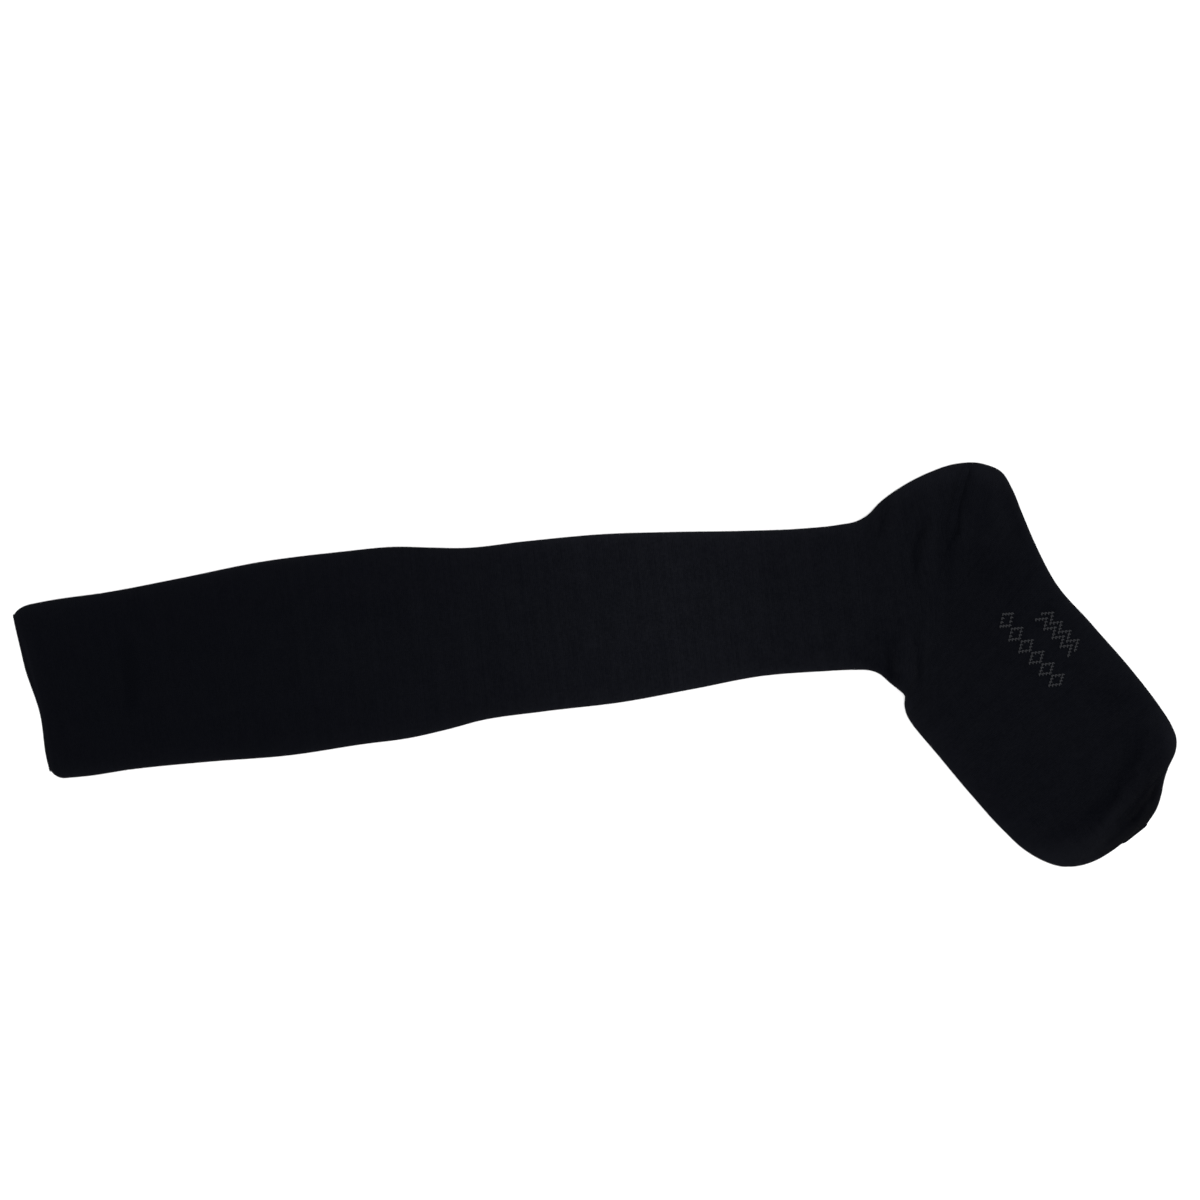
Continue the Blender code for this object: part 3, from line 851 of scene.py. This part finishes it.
def knit_finish(name):
    """The stocking's knit."""
    material, nodes = new_material(name)
    counts = nodes.node("ShaderNodeUVMap", uv_map=UV_NAME)
    split = nodes.node("ShaderNodeSeparateXYZ", {0: counts})
    wale, course = (Number(nodes, split.outputs[axis]) for axis in (0, 1))
    relief = stitch_relief(wale, course)
    place = nodes.node("ShaderNodeTexCoord").outputs["Object"]
    open_and_lit = openness_and_light(nodes, place)

    mottle = nodes.number(
        "ShaderNodeTexNoise", {"Vector": place, "Scale": MOTTLE_SCALE, "Detail": MOTTLE_DETAIL}
    )
    column, row = wale.math("FLOOR"), course.math("FLOOR")
    cell = nodes.node("ShaderNodeCombineXYZ", {0: column, 1: row})
    uneven = nodes.number("ShaderNodeTexWhiteNoise", {"Vector": cell}, noise_dimensions="2D")
    tension = nodes.number("ShaderNodeTexWhiteNoise", {"W": row}, noise_dimensions="1D")
    grain = swing(mottle, PLACE_GRAIN) + swing(uneven, STITCH_GRAIN)
    grain = grain + swing(relief, RELIEF_SHADING) + swing(tension, ROUND_GRAIN)
    grain = grain * (open_and_lit * OPEN_GRAIN + CLOSED_GRAIN)
    # the painted light and shade stored on the mesh
    placed = nodes.number("ShaderNodeAttribute", output=2, attribute_name=PALENESS)
    share = KNIT_TONE + open_and_lit * OPEN_AND_LIT_PALENESS + sheen_and_wear(wale) + placed + grain
    colour = nodes.blend(share.clipped(), DARK_YARN, PALE_YARN)

    fuzz = nodes.number("ShaderNodeTexNoise", {"Vector": place, "Scale": FUZZ_SCALE})
    knitted = nodes.node("ShaderNodeBump", {"Height": relief, "Distance": STITCH_RELIEF})
    fuzzy = nodes.node(
        "ShaderNodeBump", {"Height": fuzz, "Distance": FUZZ_RELIEF, "Normal": knitted}
    )
    matt_surface(nodes, colour, fuzzy)
    print(f"{name}: {len(nodes.tree.nodes)} nodes")
    return material


LEG_KNIT = knit_finish("leg_knit")
BAND_KNIT = knit_finish("band_knit")

# %% [markdown]
# ## The leg and foot
#
# This is the longest piece: a tube from under the band to the toe seam. Its outer rings lie a
# millimetre apart, so that the creases and the folded edges are real. The inner side is
# hidden between the layers, and wide rings are enough. Both ends dip a little, where they run
# in under the band and under the linking stitches.

# %% Build the leg and foot
RING_STEP = 1.0  # between outer rings
JOIN_STEP = 0.3  # between them where an end sinks
HIDDEN_STEP = 7.0  # between inner rings
END_DIP = 0.16  # how far an end sinks at a join
END_REACH = 1.2  # over this length
BAND_TUCK = 0.8  # the leg starts this far inside the band


def spaced(first, last, step):
    """Places from first to last, about a step apart."""
    return np.linspace(first, last, max(2, math.ceil(abs(last - first) / step) + 1))


def end_dip(distance):
    """How deep a joined end has sunk at a distance from it."""
    return END_DIP * eased(1 - share_of(distance, END_REACH))


def leg_and_foot():
    """The tube from under the band to the toe seam."""
    start, mitre, seam = PLACE_OF["band end"], PLACE_OF["heel turn"], PLACE_OF["toe seam"]
    places = np.concatenate([
        spaced(start - BAND_TUCK, start + END_REACH, JOIN_STEP)[:-1],
        spaced(start + END_REACH, mitre, RING_STEP)[:-1],
        spaced(mitre, seam - END_REACH, RING_STEP)[:-1],
        spaced(seam - END_REACH, seam, JOIN_STEP),
    ])
    dips = end_dip(places - start + BAND_TUCK) + end_dip(seam - places)
    hidden = spaced(seam, start, HIDDEN_STEP)
    outer = ring_points(lines_at(places), LEG_WALL, dips)
    inner = ring_points(lines_at(hidden), LEG_WALL, LEG_WALL)

    on, back = rounds_of_rings(outer, places)
    past_mitre = (places[:-1] >= mitre)[:, None]
    starts = np.where(past_mitre, back[:-1], on[:-1])
    ends = np.where(past_mitre, back[1:], on[1:])
    plain = plain_rounds(hidden)
    points = np.concatenate([outer, inner])
    starts = np.concatenate([starts, ends[-1:], plain])
    ends = np.concatenate([ends, plain[:1], plain[1:], starts[:1]])
    return shown(shell_mesh("leg_and_foot_cloth", points, starts, ends, around=True), LEG_KNIT)


leg_cloth = leg_and_foot()

# %% [markdown]
# ## The turned band
#
# The top band is knitted double and turned in, so its edge is a soft fold and not a cut. The
# shell therefore goes round the fold in a half circle. The relaxed edge isn't straight: it
# dips a little in front of its middle, and its corners are round. The band's lower end thins
# out on the leg, so that no hard step shows.

# %% Build the band
EDGE_WAVE = 1.9  # the relaxed top edge dips this far
EDGE_WAVE_DEPTH = 14.0  # the wave fades out this far down the band
RIM_STEPS = 9  # round the folded edge
BAND_FADE = 9.0  # the band thins towards its lower end over this length
BAND_END_STEP = 0.05  # and is left standing this high there


class Corner(NamedTuple):
    """A round corner of the top edge: its length along the tube and its depth across it."""

    length: float
    depth: float


FRONT_CORNER = Corner(6.5, 6.5)
BACK_CORNER = Corner(9.0, 5.0)


def corner_inset(distances, corner):
    """How far a round corner has drawn the cloth in at distances from the top edge."""
    share = 1 - share_of(distances, corner.length)
    return corner.depth * (1 - np.sqrt(1 - share**2))


def band_lines(distances):
    """Lines at distances from the top edge, with the band's corners, wave and extra height."""
    insets = (corner_inset(distances, corner) for corner in (FRONT_CORNER, BACK_CORNER))
    lines = narrowed(lines_at(distances), *insets)
    from_end = share_of(PLACE_OF["band end"] - distances, BAND_FADE)
    extra = BAND_END_STEP + (BAND_STEP - BAND_END_STEP) * eased(from_end)
    wave = EDGE_WAVE * (1 - share_of(distances, EDGE_WAVE_DEPTH))
    return lines._replace(middle=lines.middle + extra, edge=lines.edge + extra, wave=wave)


def turned_band():
    """The doubled band, from its lower end up, round the fold and down inside."""
    radius, length = BAND_WALL / 2, PLACE_OF["band end"]
    turns = np.linspace(0.0, math.pi, RIM_STEPS)
    near = spaced(length, length - END_REACH, JOIN_STEP)[:-1]
    far = spaced(length - END_REACH, radius, RING_STEP)[:-1]
    inside = spaced(radius, length, HIDDEN_STEP / 2)[1:]
    distances = np.concatenate([near, far, radius * (1 - np.sin(turns)), inside])
    depths = np.concatenate([
        end_dip(length - near),
        0 * far,
        radius * (1 - np.cos(turns)),
        BAND_WALL + 0 * inside,
    ])
    points = ring_points(band_lines(distances), BAND_WALL, depths)
    counts = plain_rounds(distances)
    mesh = shell_mesh("band_cloth", points, counts, np.roll(counts, -1, axis=0), around=True)
    return shown(mesh, BAND_KNIT)


band_cloth = turned_band()

# %% [markdown]
# ## The toe cap
#
# Past the linked seam the tube closes. The cap is the same wall, with its two layers meeting
# in a thin rounded tip.

# %% Build the toe cap
CAP_STEP = 0.8
TIP_STEPS = 6  # round the thin tip
CAP_HOLLOW_END = 6.0  # the hollow stops this far before the tip


def toe_cap():
    """The end of the tube past the seam, closed by a thin rounded tip."""
    seam, tip = PLACE_OF["toe seam"], PLACE_OF["tip"]
    near = spaced(seam, seam + END_REACH, JOIN_STEP)[:-1]
    far = spaced(seam + END_REACH, tip, CAP_STEP)
    hidden = spaced(tip - CAP_HOLLOW_END, seam, HIDDEN_STEP / 2)
    tip_radius = SECTIONS[-1].edge / 2
    turns = np.linspace(0.0, math.pi / 2, TIP_STEPS + 1)[1:-1]

    outside = np.concatenate([near, far])
    walls = LEG_WALL * share_of(tip - outside, CAP_HOLLOW_END)[:, None]
    skin = ring_points(lines_at(outside), walls, end_dip(outside - seam))
    tip_lines = moved(lines_at(np.full(len(turns), tip)), tip_radius * np.sin(turns))
    tip_depths = tip_radius * (1 - np.cos(turns))
    tip_rings = ring_points(narrowed(tip_lines, 2 * tip_depths, 2 * tip_depths), 0.0, tip_depths)
    inner = ring_points(lines_at(hidden), LEG_WALL, LEG_WALL)

    points = np.concatenate([inner, skin, tip_rings])
    counts = plain_rounds(np.concatenate([hidden, outside, tip + tip_radius * np.sin(turns)]))
    mesh = shell_mesh("toe_cloth", points, counts, np.roll(counts, -1, axis=0), around=False)
    return shown(mesh, LEG_KNIT)


toe_cloth = toe_cap()

# %% [markdown]
# ## Stitches that stand out
#
# A few stitches are large enough to be real geometry: the chain that links the toe shut, the
# loops that fold over the top edge, and a small knitted mark in grey yarn on the sole. All
# of them repeat along a line or over a chart, so Geometry Nodes places them. The script gives
# each tree a set of points that know which way is along the knit and which way is outwards.

# %% Points for the trees
def carriers(name, points, along, outward):
    """Points with their two directions and the cloth's painted light and shade, for a tree to put
    stitches on.
    """
    mesh = bpy.data.meshes.new(name)
    mesh.from_pydata((points * MM).tolist(), [], [])
    store_paleness(mesh, paleness_at(points[:, :2]))
    for label, values in (("along", along), ("outward", outward)):
        attribute = mesh.attributes.new(label, "FLOAT_VECTOR", "POINT")
        attribute.data.foreach_set("vector", values.astype(np.float32).ravel())
    return mesh


def unit(vectors):
    """The same directions, each with a length of 1."""
    return vectors / np.linalg.norm(vectors, axis=-1, keepdims=True)


def interpolated(wanted, known, points):
    """Points at the wanted numbers, from points at known numbers."""
    return np.stack([np.interp(wanted, known, values) for values in points.T], axis=1)


def at_stitches(ring, numbers):
    """Points of a ring at these stitch numbers, counted round the tube."""
    return interpolated(numbers, STITCH_OF_COLUMN, np.vstack([ring, ring[:1]]))


# %% [markdown]
# ## Trees from Python
#
# Each tree takes named inputs, sets one small shape on every point, makes the copies real
# and gives them their yarn. The shape's own frame is turned so that its X runs along the
# knit and its Z points out of the cloth.

# %% Helpers for Geometry Nodes
def tree_with_inputs(name, inputs):
    """An empty tree with a geometry input, a geometry output and named numbers."""
    tree = bpy.data.node_groups.new(name, "GeometryNodeTree")
    tree.interface.new_socket("Geometry", in_out="OUTPUT", socket_type="NodeSocketGeometry")
    kinds = {"Points": "Geometry", **dict.fromkeys(inputs, "Float"), "Yarn": "Material"}
    for label, kind in kinds.items():
        tree.interface.new_socket(label, in_out="INPUT", socket_type="NodeSocket" + kind)
    nodes = Nodes(tree)
    source = nodes.node("NodeGroupInput").outputs
    return nodes, {socket.name: socket for socket in source if socket.name}


def direction(nodes, label):
    """A direction that the points carry."""
    attribute = "GeometryNodeInputNamedAttribute"
    return nodes.node(attribute, {"Name": label}, data_type="FLOAT_VECTOR").outputs["Attribute"]


def set_on_points(nodes, sockets, shape):
    """Puts the shape on every point, turned by the point's two directions, and makes it real."""
    turn = nodes.node(
        "FunctionNodeAxesToRotation",
        {"Primary Axis": direction(nodes, "outward"), "Secondary Axis": direction(nodes, "along")},
        primary_axis="Z",
        secondary_axis="X",
    )
    placed = nodes.node(
        "GeometryNodeInstanceOnPoints",
        {"Points": sockets["Points"], "Instance": shape, "Rotation": turn},
    )
    real = nodes.node("GeometryNodeRealizeInstances", {0: placed})
    smooth = nodes.node("GeometryNodeSetShadeSmooth", {0: real})
    dressed = nodes.node(
        "GeometryNodeSetMaterial", {"Geometry": smooth, "Material": sockets["Yarn"]}
    )
    nodes.node("NodeGroupOutput", {0: dressed})


def grown(name, points, nodes, values, yarn):
    """Runs a tree on the points and keeps its result as a plain mesh piece."""
    carrier = linked(name + "_points", points)
    modifier = carrier.modifiers.new("stitches", "NODES")
    modifier.node_group = nodes.tree
    values = {**values, "Yarn": yarn}
    for socket in nodes.tree.interface.items_tree:
        if socket.in_out == "INPUT" and socket.name in values:
            modifier[socket.identifier] = values[socket.name]
    evaluated = carrier.evaluated_get(bpy.context.evaluated_depsgraph_get())
    mesh = bpy.data.meshes.new_from_object(evaluated)
    mesh.name = name
    carrier.modifiers.remove(modifier)
    bpy.data.objects.remove(carrier)
    print(f"{name}: {len(points.vertices)} stitches, {len(mesh.polygons)} faces")
    return shown(mesh, yarn)


# %% [markdown]
# ## A V of two legs of yarn
#
# A knitted stitch, seen from its right side, is a V: two legs that start together and lean
# apart. A chain stitch has the same shape. So one small tree serves both: a low-poly ball is
# stretched to a leg, and two legs lean to either side.

# %% The V-stitch tree
LEG_SEGMENTS = 8
LEG_RINGS = 5
VEE_INPUTS = ("Length", "Width", "Thickness", "Lean")


def vee_values(length, width, thickness, lean):
    """The tree's inputs, from sizes in millimetres and a lean in radians."""
    return dict(zip(VEE_INPUTS, (length * MM, width * MM, thickness * MM, lean)))


def vee_tree():
    """Sets a V of two leaning legs on each point."""
    nodes, sockets = tree_with_inputs("vee_stitches", VEE_INPUTS)
    inputs = {"Segments": LEG_SEGMENTS, "Rings": LEG_RINGS, "Radius": 0.5}
    ball = nodes.node("GeometryNodeMeshUVSphere", inputs)  # 1 across, to be stretched to a leg
    thick = sockets["Thickness"]
    size = nodes.node("ShaderNodeCombineXYZ", {0: sockets["Length"], 1: thick, 2: thick})
    width, lean = (Number(nodes, sockets[label]) for label in ("Width", "Lean"))
    legs = nodes.node("GeometryNodeJoinGeometry")
    for side in (-1, 1):
        place = nodes.node("ShaderNodeCombineXYZ", {1: width * (side / 4)})
        turn = nodes.node("ShaderNodeCombineXYZ", {2: lean * side})
        inputs = {"Geometry": ball, "Translation": place, "Rotation": turn, "Scale": size}
        leg = nodes.node("GeometryNodeTransform", inputs)
        nodes.tree.links.new(leg.outputs[0], legs.inputs[0])
    set_on_points(nodes, sockets, legs)
    return nodes


VEE_STITCHES = vee_tree()

# %% [markdown]
# ## Yarn for the single stitches
#
# The single stitches are the same black yarn, but they can't use the knit's pattern of V
# shapes, because each of them is one V. Their yarn has plies: fine bands that wind round it,
# painted paler on their crowns and darker between them, as painted light and shade.

# %% Plain yarn
PLY_SCALE = 1500.0  # per metre
PLY_DISTORTION = 2.0
PLY_RELIEF = 0.05 * MM
PLY_SHADING = 0.30  # painted light on each ply's crown and painted shade between the plies
YARN_GRAIN = 0.40  # and from place to place
YARN_GRAIN_SCALE = 600.0
DARK_GREY = (0.0150, 0.0155, 0.0175, 1.0)
PALE_GREY = (0.0280, 0.0290, 0.0320, 1.0)


def yarn_finish(name, dark, pale, tone):
    """A twisted yarn, uneven in tone. The tone moves it between its dark and its pale colour."""
    material, nodes = new_material(name)
    place = nodes.node("ShaderNodeTexCoord").outputs["Object"]
    plies = nodes.number(
        "ShaderNodeTexWave",
        {"Vector": place, "Scale": PLY_SCALE, "Distortion": PLY_DISTORTION},
        output=1,
        bands_direction="DIAGONAL",
    )
    uneven = nodes.number("ShaderNodeTexNoise", {"Vector": place, "Scale": YARN_GRAIN_SCALE})
    # the painted light and shade that the points carry
    placed = nodes.number("ShaderNodeAttribute", output=2, attribute_name=PALENESS)
    share = swing(plies, PLY_SHADING) + swing(uneven, YARN_GRAIN) + placed + tone
    bump = nodes.node("ShaderNodeBump", {"Height": plies, "Distance": PLY_RELIEF})
    matt_surface(nodes, nodes.blend(share.clipped(), dark, pale), bump)
    print(f"{name}: {len(nodes.tree.nodes)} nodes")
    return material


BLACK_YARN = yarn_finish("black_yarn", DARK_YARN, PALE_YARN, tone=0.22)
# the top edge's loops are the same black yarn, painted paler: a painted highlight on the folded
# edge
LIT_EDGE_YARN = yarn_finish("lit_edge_yarn", DARK_YARN, PALE_YARN, tone=0.40)
GREY_YARN = yarn_finish("grey_yarn", DARK_GREY, PALE_GREY, tone=0.50)

# %% [markdown]
# ## The linked toe seam
#
# A linking machine closes the toe with one row of chain stitches across the foot. The chain
# follows the ring at the seam from one folded edge over the upper layer to the other, and
# sits in the small groove where the two shells dip.

# %% Link the toe
LINK_STITCH = vee_values(length=1.50, width=0.95, thickness=0.45, lean=0.42)
LINK_PITCH = 1.10  # from one chain stitch to the next
LINK_DEPTH = 0.14  # how deep the chain's middle lies in the groove
LINK_EDGE_COLUMNS = 3  # how far the chain runs round each folded edge
BESIDE_SEAM = 0.5  # the rings that give the direction along the tube are this far from it


def toe_link():
    """The chain of linking stitches."""
    seam = PLACE_OF["toe seam"]
    lines = lines_at([seam - BESIDE_SEAM, seam, seam + BESIDE_SEAM])
    before, ring, after = ring_points(lines, LEG_WALL, LINK_DEPTH)
    columns = np.arange(-LINK_EDGE_COLUMNS, TOP_POINTS + LINK_EDGE_COLUMNS)
    path = ring[columns]
    steps = np.linalg.norm(np.diff(path, axis=0), axis=1)
    lengths = np.concatenate([[0.0], np.cumsum(steps)])
    marks = np.arange(LINK_PITCH / 2, lengths[-1], LINK_PITCH)
    spots, across, onward = (
        interpolated(marks, lengths, values)
        for values in (path, np.gradient(path, axis=0), (after - before)[columns])
    )
    across = unit(across)
    outward = unit(np.cross(onward, across))
    points = carriers("toe_link_points", spots, across, outward)
    return grown("toe_link", points, VEE_STITCHES, LINK_STITCH, BLACK_YARN)


toe_chain = toe_link()

# %% [markdown]
# ## Loops over the top edge
#
# Where the band is turned, every column of stitches bends round the fold. Seen from outside,
# the edge is finely toothed, one tooth for each needle. Each tooth is a short bent rib. An arc
# and a round profile make one, and the tree repeats it round the rim.

# %% Fold the stitches over the top edge
RIB_RADIUS = 0.36
RIB_SWEEP = math.radians(230.0)
RIB_ARC_POINTS = 9
RIB_SIDES = 6
INSIDE_RIM = 1.0  # the ring that gives the direction outwards is this far down the band
BESIDE_RIB = 0.25  # stitches from a rib to the places that give the direction along the rim


def rib_tree():
    """Sets a bent rib on each point, round an axis that runs along the edge."""
    nodes, sockets = tree_with_inputs("edge_ribs", ("Bend", "Thickness"))
    inputs = {
        "Resolution": RIB_ARC_POINTS,
        "Radius": sockets["Bend"],
        "Start Angle": (math.pi - RIB_SWEEP) / 2,
        "Sweep Angle": RIB_SWEEP,
    }
    arc = nodes.node("GeometryNodeCurveArc", inputs)
    upright = nodes.node(
        "GeometryNodeTransform", {"Geometry": arc, "Rotation": (math.pi / 2, 0.0, math.pi / 2)}
    )
    profile = nodes.node(
        "GeometryNodeCurvePrimitiveCircle",
        {"Resolution": RIB_SIDES, "Radius": sockets["Thickness"]},
    )
    rib = nodes.node(
        "GeometryNodeCurveToMesh", {"Curve": upright, "Profile Curve": profile, "Fill Caps": True}
    )
    set_on_points(nodes, sockets, rib)
    return nodes


def edge_ribs():
    """The teeth of the top edge, one for each needle."""
    radius = BAND_WALL / 2
    lines = band_lines(np.array([radius, radius + INSIDE_RIM]))
    rim, inside = ring_points(lines, BAND_WALL, radius)
    numbers = np.arange(NEEDLES) + 0.5
    places = at_stitches(rim, numbers)
    outward = unit(places - at_stitches(inside, numbers))
    before, after = (at_stitches(rim, numbers + step) for step in (-BESIDE_RIB, BESIDE_RIB))
    bend = radius - RIB_RADIUS / 2
    places[:, 2] = np.maximum(places[:, 2], bend + RIB_RADIUS)  # none reaches into the table
    points = carriers("edge_rib_points", places, unit(after - before), outward)
    values = {"Bend": bend * MM, "Thickness": RIB_RADIUS * MM}
    return grown("edge_ribs", points, rib_tree(), values, LIT_EDGE_YARN)


rim_ribs = edge_ribs()

# %% [markdown]
# ## A small knitted mark
#
# Stockings of this kind carry two short lines of grey stitches on the sole. Here they are a
# plain ornament: a chain of diamonds, and a double zigzag beside it. A chart shows one
# repeat, a row for each column of stitches and a sign for each round, and every cross is a
# grey V laid over the black one.

# %% Knit the mark
DIAMONDS = (
    "...x....",
    "..x.x...",
    ".x...x..",
    "x.....x.",
    ".x...x..",
    "..x.x...",
    "...x....",
)
ZIGZAG = (
    "x.....",
    ".x...x",
    "..x.x.",
    "x..x..",
    ".x...x",
    "..x.x.",
    "...x..",
)
MARKS = (
    # chart, the stitch and the round in its middle, rounds
    (DIAMONDS, 45, 580, 47),
    (ZIGZAG, 57, 582, 25),
)
MARK_STITCH = vee_values(length=1.55, width=1.30, thickness=0.66, lean=0.50)
MARK_HEIGHT = 0.10  # how far the grey stitches stand out
SIDES = np.array([-1.0, 0.0, 1.0])  # on one side, in the middle, on the other side


def charted(chart, stitch, course, rounds):
    """The stitch number and round of every cross in a repeated chart, centred on a stitch."""
    found = []
    for row, signs in enumerate(chart):
        for column in range(rounds):
            if signs[column % len(signs)] == "x":
                found.append((stitch + row - len(chart) // 2 + 0.5, course + column - rounds / 2))
    return found


def knitted_mark():
    """The grey stitches of both charts."""
    spots, along, outward = [], [], []
    for stitch, course in (cross for mark in MARKS for cross in charted(*mark)):
        lines = lines_at((course + 0.5 + SIDES) * ROUND)
        rings = ring_points(lines, LEG_WALL, -MARK_HEIGHT)
        before, middle, after = (at_stitches(ring, stitch + SIDES / 2) for ring in rings)
        spots.append(middle[1])
        along.append(after[1] - before[1])
        outward.append(np.cross(middle[2] - middle[0], along[-1]))
    outward = unit(np.array(outward))
    outward *= np.sign(outward[:, 2:])
    points = carriers("mark_points", np.array(spots), unit(np.array(along)), outward)
    return grown("sole_mark", points, VEE_STITCHES, MARK_STITCH, GREY_YARN)


sole_mark = knitted_mark()

# %% [markdown]
# ## The table and the light
#
# The stocking lies on a plain pale table. Three large square lights, one above and two to the
# sides, light it from all round, and a white room fills in. Large lights leave no hard
# shadows, which suits a soft thing that is hardly thicker than its cloth.

# %% Table and light
TABLE_SIZE = 6.0
TABLE_COLOUR = (0.90, 0.90, 0.90, 1.0)
TABLE_ROUGHNESS = 0.9
TABLE_SPECULAR = 0.1
ROOM_COLOUR = (1.0, 1.0, 1.0, 1.0)
ROOM_STRENGTH = 1.0
LIGHTS_AIM = (0.0, 0.0, 0.0)
SOFTBOXES = (
    # name, place, size, power
    ("overhead", (0.0, 0.0, 3.0), 2.0, 45.0),
    ("key", (2.9, 1.4, 1.0), 1.6, 60.0),
    ("fill", (-2.2, -2.4, 1.2), 1.8, 52.0),
)


def table():
    """A wide flat top to lie on."""
    half = TABLE_SIZE / 2
    mesh = bpy.data.meshes.new("table")
    corners = [(-half, -half, 0.0), (half, -half, 0.0), (half, half, 0.0), (-half, half, 0.0)]
    mesh.from_pydata(corners, [], [(0, 1, 2, 3)])
    material = bpy.data.materials.new("table_white")
    material.use_nodes = True
    surface = material.node_tree.nodes["Principled BSDF"].inputs
    surface["Base Color"].default_value = TABLE_COLOUR
    surface["Roughness"].default_value = TABLE_ROUGHNESS
    surface["Specular IOR Level"].default_value = TABLE_SPECULAR
    shown(mesh, material)


def softbox(name, place, size, power):
    """A square soft light, turned to the stocking."""
    lamp = bpy.data.lights.new(name, "AREA")
    lamp.size = size
    lamp.energy = power
    light = linked(name, lamp)
    light.location = place
    aim = Vector(LIGHTS_AIM) - Vector(place)
    light.rotation_euler = aim.to_track_quat("-Z", "Y").to_euler()
    light.visible_camera = False


def white_room():
    """Even light from all sides."""
    room = bpy.data.worlds.new("studio")
    room.use_nodes = True
    background = room.node_tree.nodes["Background"].inputs
    background["Color"].default_value = ROOM_COLOUR
    background["Strength"].default_value = ROOM_STRENGTH
    bpy.context.scene.world = room


table()
for row in SOFTBOXES:
    softbox(*row)
white_room()
print(len(SOFTBOXES), "soft lights")

# %% [markdown]
# ## The camera
#
# The camera looks straight down and is turned a little, so that the leg slopes across the
# picture. How high it stands follows from its lens and the width that it has to take in.

# %% Camera
FRAME_WIDTH = 564.0 * MM
FRAME_CENTRE = (6.9 * MM, 52.7 * MM)
FRAME_TURN = math.radians(6.63)
EDGE_HEIGHT = 1.8 * MM  # where the folded edges reach out furthest
LENS = 85.0
SENSOR = 36.0


def camera():
    """A camera straight above, turned about its line of sight."""
    data = bpy.data.cameras.new("camera")
    data.lens = LENS
    data.sensor_width = SENSOR
    view = linked("camera", data)
    view.location = (*FRAME_CENTRE, EDGE_HEIGHT + FRAME_WIDTH * LENS / SENSOR)
    view.rotation_euler = (0.0, 0.0, -FRAME_TURN)
    bpy.context.scene.camera = view
    bpy.context.scene.view_settings.view_transform = "Standard"
    print(f"the camera stands {view.location.z:.2f} m above the table")


camera()

# %% [markdown]
# ## Join the looks to the model
#
# Every piece is attached to the body that it moves with, and the solid that a shell stands for
# is hidden. For each shell the script prints how large it is laid flat: for a knitted tube that
# is the way all round it by its length.

def flat_size(first, last):
    """The widest way round, the length, and the area of a stretch of the tube, in metres."""
    lines = lines_at(spaced(PLACE_OF[first], PLACE_OF[last], RING_STEP))
    middles = (lines.front + lines.back) / 2
    length = np.linalg.norm(np.diff(middles, axis=0), axis=1).sum()
    around = 2 * (directions(lines)[0][:, 0] - lines.edge) + math.pi * lines.edge
    one, other = lines.back[1:] - lines.front[:-1], lines.front[1:] - lines.back[:-1]
    strips = np.abs(one[:, 0] * other[:, 1] - one[:, 1] * other[:, 0])  # both layers
    return around.max() * MM, length * MM, strips.sum() * MM**2


for cloth, node, slot, first, last in (
    (band_cloth, "welt_band", "band_knit", "top edge", "band end"),
    (leg_cloth, "leg_and_foot", "leg_knit", "band end", "toe seam"),
    (toe_cloth, "toe_cap", "leg_knit", "toe seam", "tip"),
):
    width, length, area = flat_size(first, last)
    print(f"{node}: {width / MM:.0f} by {length / MM:.0f} mm flat, {area:.4f} square metres")
    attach(cloth, "root")
    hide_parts(node)

for stitches, slot in ((toe_chain, "leg_knit"), (sole_mark, "leg_knit"), (rim_ribs, "band_knit")):
    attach(stitches, "root")
